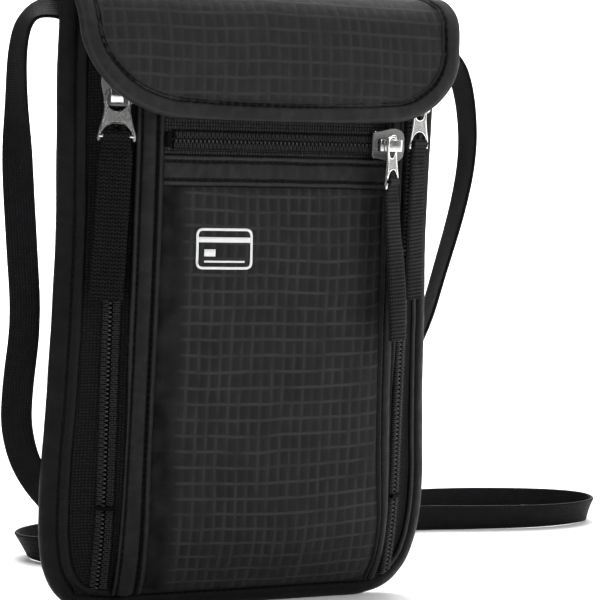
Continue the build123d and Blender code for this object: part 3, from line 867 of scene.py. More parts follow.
# How deep the rims, the pipings and the front itself stand, and how far the wall has swelled out at each height.
LEFT_RIM_Y, RIGHT_RIM_Y, LEFT_PIPING_Y, RIGHT_PIPING_Y, FRONT_Y = -4.6, -4.4, -11.7, -11.6, -14.4
FOOT_Y = -4.3
SWELL = through((0, -0.1), (6, 0.0), (10, 0.25), (16, 0.52), (24, 0.78), (32, 0.93), (42, 1.0), (60, 1.0), (205, 1.0))
LEFT_CHAIN, RIGHT_CHAIN = (-52.27, -8.71), (54.32, -8.97)
LEFT_ACROSS, RIGHT_ACROSS = np.array((0.8877, -0.4604, 0)), np.array((0.8737, 0.4864, 0))
WALL_TOP, PANEL_FOOT, PANEL_TOP = 192.0, 6.4, 140.8
FRONT_CHAIN_Z = 154.2
# How far along a chain its halves start to part.
PARTING, NEVER = 167, 1e4


def wall_point(x, y, z):
    """A point of the wall whose upright part stands at depth y."""
    return np.stack([x, FOOT_Y + (y - FOOT_Y) * SWELL(z), z + 0 * x], axis=-1)


def between(a, b, t):
    return a * (1 - t) + b * t


def raised(grid, height):
    """The grid moved out along its own normal."""
    du, dv = np.gradient(grid, axis=0), np.gradient(grid, axis=1)
    return grid + unit(np.cross(du, dv)) * height[..., None]


def at(value):
    return lambda z: z * 0 + value


def zip_tapes(name, lines, depths, tucks, replaces):
    """The two woven tapes of a side zip, a little hollow between the chain and their sewn edges.

    lines, depths and tucks go from left to right: the left edge, the chain and the right edge. A tuck is how far
    a tape runs on past its sewn edge, and at the chain how far it stops short.
    """
    z = np.linspace(6.8, WALL_TOP, 130)[None, :]
    shares = np.linspace(0, 1, 11)[:, None]
    parts = []
    for k in (0, 1):
        left, right = lines[k](z), lines[k + 1](z)
        wide = np.abs(right - left)
        low, high = (-tucks[0], -tucks[1]) if k == 0 else (tucks[1], tucks[2])
        t = between(low / wide, 1 + high / wide, shares)
        grid = wall_point(between(left, right, t), between(depths[k], depths[k + 1], t), z)
        grid = raised(grid, -0.35 * np.sin(math.pi * np.clip(t, 0, 1)) + 0.12 * lumps(grid, 9, 5))
        parts.append(slab(grid, 0.5))
    piece(name, parts, POUCH, TAPE, replaces=replaces)


def chain_frame(line, across):
    forward = unit(np.gradient(line, axis=0))
    side = unit(across - forward * np.sum(across * forward, axis=1, keepdims=True))
    return forward, side, unit(np.cross(side, forward))


# One coil loop, as (out from the middle, up, along the chain): out along one leg, over the head and back along the
# other, with the filament's radius at each point.
COIL_PITCH = 1.45
LEG = [(3.0, 0.0, -0.34), (2.6, 0.5, -0.36), (1.9, 0.72, -0.38), (1.1, 0.78, -0.38), (0.62, 0.74, -0.24)]
LOOP = np.array(LEG + [(0.46, 0.68, 0.0)] + [(a, b, -c) for a, b, c in reversed(LEG)])
LOOP_RADII = [0.12, 0.17, 0.2, 0.21, 0.22, 0.23, 0.22, 0.21, 0.2, 0.17, 0.12]
# The bead at each loop's head, in a lighter filament as a painted highlight, and the dark cord the loops are wound on,
# as (out from the middle, up).
KNOB = np.array([(0.55, 0.6), (0.42, 0.8), (0.22, 0.84), (0.05, 0.7), (0.0, 0.4)])
KNOB_RADII = [0.18, 0.26, 0.28, 0.24, 0.16]
CORD = np.array([(0.35, 0.0), (0.42, 0.36), (0.9, 0.5), (1.9, 0.48), (2.7, 0.2), (3.0, -0.1)])
CHAIN_END = 0.4


def coil_chain(name, line, across, open_from):
    """A coil zip: filament loops lying across each tape that meet in the middle, and the stitching that holds them."""
    run = travelled(line)
    forward, side, out = chain_frame(line, alike(across, line))
    coils, sewing, heads, beds = [], [], [], []

    def apart(s):
        return 1.7 * ease(open_from, open_from + 12, s)[:, None]

    def strands(s, sign, shape, radii):
        """One strand at each distance s, its middle line given by (out, up, along) points."""
        here, ways, ups, aheads = (sample(s, run, field)[:, None] for field in (line, side, out, forward))
        reach = sign * (shape[:, 0][None] + apart(s))
        centres = here + ways * reach[..., None] + ups * shape[None, :, 1:2] + aheads * shape[None, :, 2:]
        flank = np.broadcast_to(unit(aheads), centres.shape)
        return threads(centres, flank, unit(np.cross(unit(np.gradient(centres, axis=1)), flank)), radii, 7)

    for sign, start in ((-1, CHAIN_END), (1, CHAIN_END + COIL_PITCH / 2)):
        s = np.arange(start, run[-1] - CHAIN_END, COIL_PITCH)
        coils.append(strands(s, sign, LOOP, LOOP_RADII))
        if sign < 0:
            heads.append(strands(s, sign, np.pad(KNOB, ((0, 0), (0, 1))), KNOB_RADII))
        for where, share in ((2.3, 0.5), (1.6, 0.42)):
            rail = line + side * sign * (where + apart(run)) + out * 0.75
            first, long = start + COIL_PITCH * (0.5 - share / 2), COIL_PITCH * share
            sewing.append(stitches(rail, out, COIL_PITCH, long, 0.19, 0.2, first=first))
        reach = sign * (CORD[:, :1] + apart(run).T)
        bed = line[None] + out[None] * CORD[:, 1, None, None] + side[None] * reach[..., None]
        marks = np.stack(np.broadcast_arrays(CORD[:, :1], run[None]), axis=-1)
        beds.append(slab(bed if sign > 0 else bed[::-1], 0.3, uv=marks, rim=1))
    piece(name, coils, POUCH, COIL, replaces=[name])
    piece(name + "_bed", beds, POUCH, BED)
    piece(name + "_heads", heads, POUCH, COIL_HEAD_HIGHLIGHT)
    piece(name + "_sewing", sewing, POUCH, COIL)


# The welt's section from the thin edge over the tape to the sewn seam, as (distance across, height).
WELT_SECTION = [
    (-1.1, 0.1), (-0.9, 0.8), (-0.45, 1.45), (0.0, 1.65), (0.45, 1.45), (0.8, 0.95), (1.15, 0.55), (1.5, 0.95),
    (1.9, 1.35), (2.6, 1.5), (3.4, 1.55), (4.2, 1.5), (5.0, 1.35), (5.6, 1.0), (6.0, 0.5), (6.35, 0.15), (6.7, 0.3),
    (7.05, 0.95), (7.5, 1.2), (8.0, 0.8), (8.5, -0.1),
]  # fmt: skip
WELT_WIDE = 8.2


def welt(side, left, right, left_y, right_y, flip, under, spread):
    """The folded strip beside a side zip: a thin edge over the tape, a stitch line, a smooth band and the sewn seam.

    Low down its thin edge is tucked back by under and lowered, to leave room for the slider.
    """
    order = slice(None, None, -1) if flip else slice(None)
    a, high = (column[:, None] for column in np.array(WELT_SECTION)[order].T)
    z = np.linspace(6.6, WALL_TOP, 150)[None, :]
    tucked = a + under * np.exp(-((a + 1.1) ** 2) / spread) * (1 - ease(60, 90, z))
    t = 1 - tucked / WELT_WIDE if flip else tucked / WELT_WIDE
    base = wall_point(between(left(z), right(z), t), between(left_y, right_y, t), z)
    span = np.hypot(np.abs(right(z) - left(z)), right_y - left_y)
    low_down = 1 - ease(55, 85, z)
    h = high * np.clip(span / WELT_WIDE, 0.7, 1.1) * (1 - 0.3 * low_down * (a < 0.8))
    grid = raised(base, h + 0.12 * lumps(base, (30, 30, 9), 8) + 0.09 * lumps(base, (4.5, 4.5, 3.0), 9) * (high > 0.7))
    marks = np.stack(np.broadcast_arrays(a, z), axis=-1)
    piece(f"{side}_welt", [slab(grid, 0.75, uv=marks)], POUCH, WELT, replaces=[f"{side}_welt"])
    outward = unit(np.cross(*np.gradient(grid, axis=(0, 1))))
    lines = []
    for where, long in ((1.15, 1.5), (6.35, 1.7)):
        j = int(np.argmin(np.abs(a[:, 0] - where)))
        lines.append(stitches(grid[j] + outward[j] * 0.05, outward[j], 2.25, long, 0.17, first=4.0))
    sewn(f"{side}_welt_stitches", lines)


def front_panel():
    """The puffed ripstop pocket front, drawn in at its side seams and full towards the middle."""
    z = np.linspace(PANEL_FOOT, PANEL_TOP, 118)[None, :]
    shares = [np.linspace(0, 0.12, 12)[:-1], np.linspace(0.12, 0.9, 48), np.linspace(0.9, 1, 11)[1:]]
    x = between(LEFT_SEAM(z), RIGHT_SEAM(z), np.concatenate(shares)[:, None])
    grid = wall_point(x, FRONT_Y + 0 * x, z)
    from_left, from_right = x - LEFT_SEAM(z), RIGHT_SEAM(z) - x
    left = 1 - np.exp(-np.maximum(from_left, 0) / 6.5)
    right = 1 - np.exp(-np.maximum(from_right, 0) / 2.6)
    foot, head = ease(3, 30, z), 0.45 + 0.55 * (1 - ease(112, 141, z))
    belly = np.sin(math.pi * np.clip(from_left / (from_left + from_right), 0, 1)) ** 0.8
    full = left * right * (0.35 + 0.65 * foot) + 2.6 * belly * foot * head
    near = np.exp(-np.minimum(from_left, from_right) / 4.0)
    top = np.exp(-(PANEL_TOP - z) / 5.0)
    wave = 0.5 * lumps(grid, (26, 26, 34), 11) + 0.22 * lumps(grid, (9, 9, 14), 12)
    pull = 0.28 * near * lumps(grid, (8, 8, 3.6), 13) + 0.35 * top * lumps(grid, (3.4, 8, 9), 14)
    bottom = 0.5 * np.exp(-(z - PANEL_FOOT) / 7.0) * lumps(grid, (4.5, 8, 12), 15)
    height = full + wave * (0.4 + 0.6 * foot) + pull + bottom - 0.25
    grid = raised(grid, between(height, 0.1, ease(138.4, 139.8, z)))  # the top edge goes under the band
    piece("front_panel", [slab(grid, 0.7)], POUCH, PANEL_CLOTH, replaces=["front_panel"])
    return grid


# The band's section from its lower edge to its upper one, as (height above the base, how far it stands out).
BAND_SECTION = [
    (139.3, 0.55), (139.6, 1.05), (140.1, 1.25), (140.7, 1.1), (141.15, 0.8), (141.5, 0.4), (141.9, 0.8), (142.6, 1.15),
    (143.6, 1.35), (144.6, 1.42), (145.6, 1.35), (146.4, 1.15), (147.0, 0.8), (147.35, 0.4), (147.7, 0.8), (148.2, 1.1),
    (148.7, 1.25), (149.1, 1.05), (149.35, 0.5),
]  # fmt: skip
BAND_ROWS = (5, 13)  # the section's points where it is stitched


def pocket_band():
    """The folded band above the pocket front, with a stitch row near each edge and puckers between them."""
    x = np.linspace(-38.9, 43.0, 150)[:, None]
    z, high = (column[None] for column in np.array(BAND_SECTION).T)
    base = np.stack(np.broadcast_arrays(x, FRONT_Y, z), axis=2)
    middle = ease(141.3, 142.6, z) * (1 - ease(146.2, 147.4, z))
    h = high + 0.56 * middle * lumps(base, (2.3, 9, 6.5), 21) + 0.1 * lumps(base, 1.8, 22)
    ends = np.minimum(1 - np.exp(-(x + 39.3) / 1.1), 1 - np.exp(-(43.4 - x) / 1.1))
    base[..., 2] += 0.14 * lumps(base, (11, 9, 40), 23)
    base[..., 1] += 0.9 * (1 - ends) - h * ends
    marks = np.stack(np.broadcast_arrays(z - 139.4, x), axis=-1)
    piece("pocket_band", [slab(base, 1.1, uv=marks)], POUCH, BAND, replaces=["pocket_band"])
    out = alike((0, -1, 0), base[:, 0])
    rows = [stitches(base[:, j] + out * 0.05, out, long=1.75, radius=0.25, first=1.4) for j in BAND_ROWS]
    sewn("pocket_band_stitches", rows)


def front_zip():
    """The level zip's two tapes and its chain."""
    x = np.linspace(-39.2, 43.2, 70)[:, None]
    parts = []
    for low, high in ((147.8, 153.85), (154.55, 164.0)):
        z = np.linspace(low, high, 9)[None, :]
        y = FRONT_Y + 0.15 + 0.25 * np.sin(math.pi * (z - low) / (high - low))
        grid = np.stack(np.broadcast_arrays(x, y, z), axis=2)
        grid[..., 1] += 0.1 * lumps(grid, 8, 31)
        verts, faces, uv = slab(grid, 0.5)
        parts.append((verts, faces, uv[:, ::-1]))
    piece("front_zip_tapes", parts, POUCH, FRONT_TAPE_LIT, replaces=["front_zip_tapes"])
    x = np.linspace(42.6, -35.6, 160)
    line = np.stack(np.broadcast_arrays(x, FRONT_Y + 0.05, FRONT_CHAIN_Z), axis=1)
    coil_chain("front_zip_coils", line, (0, 0, 1), NEVER)


def yoke():
    """The smooth strip above the level zip, behind the flap."""
    x = np.linspace(-39.0, 43.0, 60)[:, None]
    z = np.concatenate([[161.6, 161.8], np.linspace(162.2, 192.2, 24)])[None, :]
    grid = np.stack(np.broadcast_arrays(x, FRONT_Y - 0.35 * ease(161.5, 163, z), z), axis=2)
    grid[..., 1] -= 0.2 * lumps(grid, (20, 9, 20), 41)
    piece("front_yoke", [slab(grid, 0.8)], POUCH, SMOOTH, replaces=["front_yoke"])
    out = alike((0, -1, 0), grid[:, 5])
    sewn("front_yoke_stitches", [stitches(grid[:, 5] + out * 0.05, out)])


zip_tapes(
    "left_zip_tapes",
    (LEFT_RIM, at(LEFT_CHAIN[0]), LEFT_PIPING),
    (LEFT_RIM_Y, LEFT_CHAIN[1], LEFT_PIPING_Y),
    (2.0, 0.35, 1.2),
    ["left_zip_tapes", "left_side_panel"],
)
zip_tapes(
    "right_zip_tapes",
    (RIGHT_PIPING, at(RIGHT_CHAIN[0]), RIGHT_RIM),
    (RIGHT_PIPING_Y, RIGHT_CHAIN[1], RIGHT_RIM_Y),
    (2.0, 0.35, 1.2),
    ["right_zip_tapes", "right_side_panel"],
)
for side, chain, across in (("left", LEFT_CHAIN, LEFT_ACROSS), ("right", RIGHT_CHAIN, RIGHT_ACROSS)):
    z = np.linspace(8.5, 190, 260)
    coil_chain(f"{side}_zip_coils", wall_point(chain[0] + 0 * z, chain[1], z), across, PARTING)
welt("left", LEFT_PIPING, LEFT_SEAM, LEFT_PIPING_Y, FRONT_Y, False, 0.9, 1.2)
welt("right", RIGHT_SEAM, RIGHT_PIPING, FRONT_Y, RIGHT_PIPING_Y, True, 1.9, 3.0)
panel_grid = front_panel()
pocket_band()
front_zip()
yoke()


# ---------------------------------------------------------------- the edge binding
EDGE = [
    (-69.3, 199), (-69.4, 182), (-69.3, 165), (-68.8, 148), (-68.4, 132), (-68.3, 116), (-68.6, 100), (-69.1, 84),
    (-69.8, 66), (-70.7, 50), (-71.0, 36), (-70.6, 24), (-68.9, 14), (-65.0, 6.6), (-59.2, 2.0), (-51, 0.4),
    (-36, 0.1), (-18, 0.0), (0, 0.0), (18, 0.0), (36, 0.1), (50, 0.5), (58, 3.0), (64.5, 9.0), (68.6, 18), (70.4, 28),
    (70.9, 42), (70.2, 56), (69.6, 70), (69.2, 86), (68.6, 104), (68.2, 122), (68.2, 140), (68.5, 160), (68.9, 180),
    (69.1, 199),
]  # fmt: skip
# The binding's outline, as (how far in from the outer edge, how deep): the front, the fold underneath and the back.
BINDING_SECTION = [
    (0.0, 0.9), (0.1, 0.0), (0.5, -0.85), (1.2, -1.6), (2.2, -2.3), (3.2, -2.8), (3.9, -2.95), (4.4, -2.85),
    (4.8, -2.75), (5.2, -3.0), (5.7, -3.8), (6.4, -4.6), (7.2, -4.95), (7.9, -4.9), (8.3, -4.5), (8.0, -4.1),
    (7.2, -4.1), (6.4, -3.75), (5.7, -2.9), (5.0, -2.0), (3.6, -1.9), (2.0, -1.0), (1.3, 0.6), (1.6, 2.0), (4.0, 2.4),
    (7.0, 2.5), (7.6, 2.7), (7.7, 3.1), (7.2, 3.35), (5.4, 3.3), (4.8, 3.05), (4.2, 3.25), (2.6, 3.2), (1.2, 2.9),
    (0.4, 2.2), (0.1, 1.6),
]  # fmt: skip


def corner_uv(faces, across, along):
    """U and V of every face corner of a swept mesh, from a value for each section point and one for each station."""
    m = len(across)
    return np.array([(across[v % m], along[min(v // m, len(along) - 1)]) for face in faces for v in face])


def edge_binding():
    """The tape folded round the sides and bottom of the pouch, sewn through both faces."""
    line, run = spline([(x, 0, z) for x, z in EDGE], 1.6)
    depth = alike((0, 1, 0), line)
    inward = unit(np.cross(unit(np.gradient(line, axis=0)), depth))
    if inward[0][0] < 0:
        inward = -inward
    section = np.array(BINDING_SECTION, float)
    sections = np.repeat(section[None], len(line), axis=0)
    spots = line[:, None] + inward[:, None] * section[None, :, :1] + np.array((0, 1.0, 0)) * section[None, :, 1:]
    soft = 0.22 * lumps(spots, (9, 9, 12), 51) + 0.1 * lumps(spots, 3.4, 52)
    off_floor = 1 - 0.8 * np.exp(-np.maximum(spots[..., 2], 0) / 0.6)
    sections[..., 1] += soft * np.sign(section[:, 1] - 0.9)[None]
    sections[..., 0] += 0.16 * lumps(spots, (18, 18, 18), 53) * off_floor
    sections[..., 0] = np.maximum(sections[..., 0], 0.0)
    verts, faces, _ = sweep(line, inward, depth, sections)
    part = (verts, faces, corner_uv(faces, section[:, 0], run))
    piece("edge_binding", [part], POUCH, BINDING, replaces=["edge_binding"])
    rows = []
    for groove, face in ((BINDING_SECTION.index((4.8, -2.75)), -1.0), (BINDING_SECTION.index((4.8, 3.05)), 1.0)):
        rail = line + inward * sections[:, groove, :1] + depth * sections[:, groove, 1:]
        rows.append(stitches(rail + depth * face * 0.06, depth * face, BINDING_PITCH, 1.8, 0.19, first=3))
    sewn("edge_binding_stitches", rows)


def tongue_width(z, half, corner, bottom):
    """Half the width of an outline with round lower corners, at height z."""
    drop = np.clip((bottom + corner - z) / corner, 0, 1)
    return half - corner * (1 - np.sqrt(np.maximum(1 - drop**2, 0)))


def back_panel():
    """The plain ripstop back, calm towards its edges."""
    z = np.concatenate([[6.9, 7.2, 7.8], np.linspace(9, 24, 10), np.linspace(28, 200, 44)])[None, :]
    t = np.linspace(1, -1, 60)[:, None]
    half = tongue_width(z, 62.0, 13.0, 6.6)
    grid = np.stack(np.broadcast_arrays(t * half, 3.2, z), axis=2)
    calm = (1 - t**8) * ease(6, 20, z) * (1 - ease(165, 182, z))
    grid[..., 1] += calm * (0.5 * lumps(grid, (30, 9, 34), 61) + 0.16 * lumps(grid, (9, 9, 12), 62)) - 0.15
    piece("back_panel", [slab(grid, 0.6)], POUCH, CLOTH, replaces=["back_panel"])


edge_binding()
back_panel()


# ---------------------------------------------------------------- the flap
# The flap's middle line from its root over the top and down the front, as (y, z).
FLAP_LINE = [
    (3.4, 199.0), (3.3, 200.8), (2.4, 202.3), (0.6, 203.0), (-2.4, 203.0), (-6.2, 202.4), (-10.2, 200.0),
    (-13.8, 196.2), (-16.4, 191.0), (-18.0, 184.5), (-18.9, 177.0), (-19.2, 170.0), (-19.0, 164.5), (-18.4, 161.0),
]  # fmt: skip
FLAP_WIDE, FLAP_BAND = 68.6, 6.6


def flap_shape():
    """Maps (x, run) on the flat flap to space, with the direction out of its face."""
    line, run = spline([(0, y, z) for y, z in FLAP_LINE], 0.5)
    ahead = unit(np.gradient(line, axis=0))
    outward = np.stack([ahead[:, 0], ahead[:, 2], -ahead[:, 1]], axis=1) * -1.0
    if outward[len(line) // 3][2] < 0:
        outward = -outward
    total = run[-1]

    def place(x, s, lift):
        spot, out = sample(s, run, line), sample(s, run, outward)
        share = np.clip(s / total, 0, 1)
        edge = np.abs(x / FLAP_WIDE)
        droop = (1.5 * edge**2.6 + 0.5 * edge**8) * ease(0.12, 0.6, share)
        corner = 1.4 * ease(0.55, 1.05, edge) * ease(0.72, 1.0, share)
        spot = spot - out * (droop + corner - lift)[..., None]
        spot[..., 0] += x
        return spot

    return place, total


def flap_outline(end):
    """The flat flap's edge, from its root on the left round the bottom to its root on the right."""
    path = [(-62.5, 3.0), (-64.5, 7.5), (-FLAP_WIDE + 0.4, 13.0)]
    for a in np.linspace(0, math.pi / 2, 12):
        path.append((-FLAP_WIDE + 37 * (1 - math.cos(a)), end - 30 * (1 - math.sin(a))))
    for a in np.linspace(math.pi / 2, 0, 12):
        path.append((FLAP_WIDE - 27 * (1 - math.cos(a)), end - 0.8 - 25 * (1 - math.sin(a))))
    path += [(FLAP_WIDE - 0.4, 13.0), (64.5, 7.5), (62.5, 3.0)]
    line, _ = spline([(x, s, 0) for x, s in path], 1.3)
    return line[:, :2]


def inset(outline, distance):
    """The outline moved towards the flap's middle."""
    ahead = unit(np.gradient(outline, axis=0))
    inward = np.stack([ahead[:, 1], -ahead[:, 0]], axis=1)
    if inward[0][0] < 0:
        inward = -inward
    return outline + inward * distance


# The flap binding's outline: how far in from the edge, and how high, over the face and then back underneath.
FLAP_BINDING = [
    (0.1, -0.9), (-0.35, -0.55), (-0.3, 0.05), (0.15, 0.5), (0.9, 0.85), (1.8, 1.05), (2.9, 1.15), (4.0, 1.05),
    (4.9, 0.8), (5.5, 0.3), (5.9, -0.1), (6.3, 0.35), (6.7, 0.62), (7.0, 0.35), (7.0, 0.0), (6.4, -0.15), (5.0, -0.2),
    (3.2, -0.2), (1.6, -0.25), (0.6, -0.4), (0.6, -1.2), (1.6, -1.75), (3.4, -1.85), (5.4, -1.8), (6.2, -1.75),
    (6.5, -1.95), (6.2, -2.2), (3.4, -2.25), (1.2, -2.1), (0.35, -1.6),
]  # fmt: skip
FLAP_GROOVE = 10  # the point of it where it is stitched


def on_flat(x, s):
    """Points on the flat flap, where its wrinkles are laid out."""
    return np.stack([x, s, 0 * x], axis=-1)


def flap():
    """The flap: a ripstop shell, its lining and the sewn band folded round the edge."""
    place, total = flap_shape()
    edge = flap_outline(total)
    last = total - FLAP_BAND + 1.2

    # the ripstop shell, from under the binding's inner edge
    x = np.linspace(-1, 1, 92)[:, None]
    s = np.concatenate([np.linspace(0.0, total * 0.5, 34)[:-1], np.linspace(total * 0.5, last, 40)])[None, :]
    inner = inset(edge, FLAP_BAND - 1.2)
    left_half, right_half = inner[: len(inner) // 2], inner[len(inner) // 2 :][::-1]
    left = np.interp(s, left_half[:, 1], left_half[:, 0])
    right = np.interp(s, right_half[:, 1], right_half[:, 0])
    flat_x = left * (1 - x) / 2 + right * (1 + x) / 2
    flat_s = s + 0 * x
    near = np.minimum(np.minimum(flat_x - left, right - flat_x), last - flat_s)
    lift = 0.05 + 0.5 * (1 - np.exp(-np.maximum(near, 0) / 6)) * ease(6, 26, flat_s)
    field = on_flat(flat_x, flat_s)
    soft = 0.34 * lumps(field, (24, 15, 9), 71) + 0.14 * lumps(field, (8, 8, 9), 72)
    pucker = 0.3 * np.exp(-np.maximum(near, 0) / 3.5) * lumps(field, (3.2, 3.2, 9), 73)
    lift = lift + (soft + pucker) * ease(5, 20, flat_s)
    grid = place(flat_x, flat_s, lift)
    shell = slab(grid[:, ::-1], 0.55, uv=np.stack([flat_x, total - flat_s], axis=-1)[:, ::-1])
    piece("flap_shell", [shell], FLAP, CLOTH, replaces=["flap_shell"])

    # the lining behind it
    lined = flap_rows(place, inset(edge, 2.2), -1.35)
    piece("flap_lining", [slab(lined[:, ::-1], 0.3)], FLAP, LINING, replaces=["flap_lining"])

    # the folded band round the edge
    across, high = np.array(FLAP_BINDING).T
    lines = np.stack([inset(edge, a) for a in across], axis=1)
    field = on_flat(lines[..., 0], lines[..., 1])
    face = (high > 0.1)[None, :]
    pinch = np.exp(-(((across - 5.9) / 1.5) ** 2))[None]
    soft, puckers = lumps(field, (6.5, 6.5, 9), 81), lumps(field, (2.7, 2.7, 9), 82)
    h = high[None] + face * (0.3 * soft + 0.24 * puckers * (0.5 + pinch))
    ring = place(lines[..., 0], lines[..., 1], h)
    count, around = ring.shape[:2]
    faces = []
    for i in range(count - 1):
        for j in range(around):
            k = (j + 1) % around
            faces.append((i * around + j, i * around + k, (i + 1) * around + k, (i + 1) * around + j))
    faces.append(tuple(range(around)))
    faces.append(tuple((count - 1) * around + j for j in range(around))[::-1])
    part = (ring.reshape(-1, 3), faces, corner_uv(faces, across, travelled(edge)))
    piece("flap_binding", [part], FLAP, FLAP_EDGE, replaces=["flap_binding"])
    rail = ring[:, FLAP_GROOVE]
    out = unit(place(lines[:, FLAP_GROOVE, 0], lines[:, FLAP_GROOVE, 1], h[:, FLAP_GROOVE] + 1) - rail)
    rows = [stitches(rail, out, FLAP_PITCH, 2.0, 0.3, first=2)]
    back_edge = inset(edge, 5.7)
    behind = place(back_edge[:, 0], back_edge[:, 1], np.full(len(edge), -2.2))
    rows.append(stitches(behind - out * 0.06, -out, FLAP_PITCH, 2.0, 0.2, 0.2, first=2))
    sewn("flap_stitches", rows, FLAP)


def flap_rows(place, outline, lift):
    """A grid across the flap inside an outline, from near its root to the bottom."""
    low = outline[:, 1].max() - 0.3
    s = np.linspace(14, low, 50)[None, :]
    half = len(outline) // 2
    left = np.interp(s, outline[:half, 1], outline[:half, 0])
    right = np.interp(s, outline[half:][::-1][:, 1], outline[half:][::-1][:, 0])
    t = np.linspace(0, 1, 50)[:, None]
    x = left * (1 - t) + right * t
    return place(x, s + 0 * t, np.full(x.shape, lift))


flap()


# ---------------------------------------------------------------- sliders, pulls and ribbons
CHAINS = {
    "left": Matrix.Translation((*LEFT_CHAIN, 168.2)) @ Matrix.Rotation(math.radians(-27.41), 4, "Z"),
    "right": Matrix.Translation((*RIGHT_CHAIN, 168.2)) @ Matrix.Rotation(math.radians(29.11), 4, "Z"),
    "front": Matrix.Translation((40.2, FRONT_Y, FRONT_CHAIN_Z)) @ Matrix.Rotation(math.pi / 2, 4, "Y"),
}
# The pull's hinge in its slider's frame, and how far below it the bar for the ribbon stands.
PIVOT = (0.0, -4.0, 1.5)
CROSSBAR = 15.0
# The bridge's middle line over a slider, as (z, y).
BRIDGE = [
    (-2.7, -2.7), (-2.8, -4.2), (-2.8, -5.6), (-2.45, -6.4), (-1.7, -6.65), (1.2, -6.65), (3.6, -6.45), (4.7, -6.0),
    (5.3, -5.0), (5.4, -2.7),
]  # fmt: skip


def mirrored(points):
    return points + [(-x, z) for x, z in reversed(points)]


def cast(name, parts, frame, body, angle, first):
    """A metal piece whose first part has a look of its own: here always a darker copy of the nickel, as painted shade.
    """
    parts = [moved(part, frame) for part in parts]
    looks = [first] + [METAL] * (len(parts) - 1)
    piece(name, parts, body, METAL, replaces=[name], angle=angle, materials=looks)


def slider(side):
    """A cast slider: waisted top plate with turned-down sides, the arched bridge and the plate under the tape."""
    outline = mirrored([(4.1, -4.2), (4.7, -1.0), (5.5, 2.6), (5.65, 4.4), (5.0, 6.4), (3.8, 7.6), (1.8, 7.9)])
    parts = [plate([rounded(outline, 0.9, 4)], -3.0, -1.75, 0.42, 4)]
    for sign in (-1, 1):
        rail = [(sign * 3.2, 2.55), (sign * 4.75, 2.55), (sign * 4.5, -3.4), (sign * 3.2, -3.4)]
        parts.append(plate([rounded(rail if sign > 0 else rail[::-1], 0.4, 3)], -2.2, -0.45, 0.25, 3))
    parts.append(plate([rounded([(4.2, -4.0), (4.6, 2.3), (-4.6, 2.3), (-4.2, -4.0)], 0.9, 4)], 1.05, 2.15, 0.3, 3))
    parts.append(plate([rounded([(0.42, -1.4), (0.42, 2.2), (-0.42, 2.2), (-0.42, -1.4)], 0.2, 2)], -1.9, 1.2, 0.05, 1))
    # the bridge: a flat strap that rises from the plate, runs over the pull's eye and comes down again
    line, _ = spline([(0, y, z) for z, y in BRIDGE], 0.35)
    flank = alike((1, 0, 0), line)
    up = unit(np.cross(unit(np.gradient(line, axis=0)), flank))
    parts.append(sweep(line, flank, up, rounded([(2.0, -0.46), (2.0, 0.46), (-2.0, 0.46), (-2.0, -0.46)], 0.2, 3)))
    # the top plate takes the darker nickel as painted shade
    cast(f"{side}_slider_body", parts, CHAINS[side], f"{side}_slider", 38, SHADED)


# One half of a pull: its outline down to the prong and then up the arch, its eye, and the bead inside the arch.
PULL_OUTER = [
    (0.0, 0.75), (1.7, 0.6), (3.2, -0.2), (4.0, -1.7), (4.15, -3.6), (4.25, -7.4), (5.0, -11.0), (5.9, -14.2),
    (6.15, -15.6),
]  # fmt: skip
PULL_INNER = [
    (5.75, -16.7), (5.35, -16.6), (5.1, -15.0), (4.6, -13.3), (3.4, -11.7), (1.8, -10.8), (0.0, -10.5),
]  # fmt: skip
PULL_EYE = [
    (0.0, -0.5), (1.6, -0.62), (2.7, -1.2), (3.05, -2.4), (3.05, -4.4), (2.6, -5.9), (1.5, -6.85), (0.0, -7.1),
]  # fmt: skip
PULL_ARCH = [
    (5.78, -15.3), (5.6, -16.5), (5.3, -16.2), (5.2, -15.2), (4.75, -13.6), (3.5, -12.05), (1.85, -11.15), (0, -10.85),
]  # fmt: skip


def smooth_outline(half, step):
    line, _ = spline([(x, z, 0) for x, z in half], step)
    return [(float(x), float(z)) for x, z, _ in line]


def bead(path, radius, closed=False):
    """A bright rim along a line of (x, z) points."""
    line = np.array([(x, 0.0, z) for x, z in path])
    if closed:
        line = np.vstack([line, line[:1]])
    ahead = unit(np.gradient(line, axis=0))
    if closed:
        ahead[0] = ahead[-1] = unit(ahead[0] + ahead[-1])
    flat = alike((0, 1, 0), line)
    turn = np.linspace(0, 2 * math.pi, 11)[:-1]
    section = [(radius * 0.9 * math.cos(a), radius * 1.35 * math.sin(a)) for a in turn]
    return sweep(line, unit(np.cross(ahead, flat)), flat, section, caps=not closed)


def pull(side, frame, body):
    """A forked pull: grainy recessed face darkened as painted shade, bright rims, an eye for the bridge and a bar for
    the ribbon.
    """
    half = smooth_outline(PULL_OUTER + PULL_INNER, 0.45)
    ring = half[:-1] + [(-x, z) for x, z in reversed(half)][:-1]
    half = smooth_outline(PULL_EYE, 0.4)
    eye = half[:-1] + [(-x, z) for x, z in reversed(half)][:-1]
    parts = [plate([ring, eye], -0.26, 0.26, 0.08, 2)]
    half = smooth_outline([(x - 0.38 if x > 0.4 else x, z - (0.3 if z > 0 else 0)) for x, z in PULL_OUTER], 0.5)
    parts.append(bead([(-x, z) for x, z in reversed(half)] + half[1:], 0.36))
    half = smooth_outline(PULL_ARCH, 0.4)
    parts.append(bead(half + [(-x, z) for x, z in reversed(half)][1:], 0.27))
    parts.append(bead([(x * 1.09, (z + 3.8) * 1.07 - 3.8) for x, z in eye], 0.27, closed=True))
    parts.append(rod([(-5.5, 0, -CROSSBAR), (5.5, 0, -CROSSBAR)], 0.6, 12, side=(0, 1, 0)))
    cast(f"{side}_pull_tab", parts, frame, body, 40, CAST_SHADED)


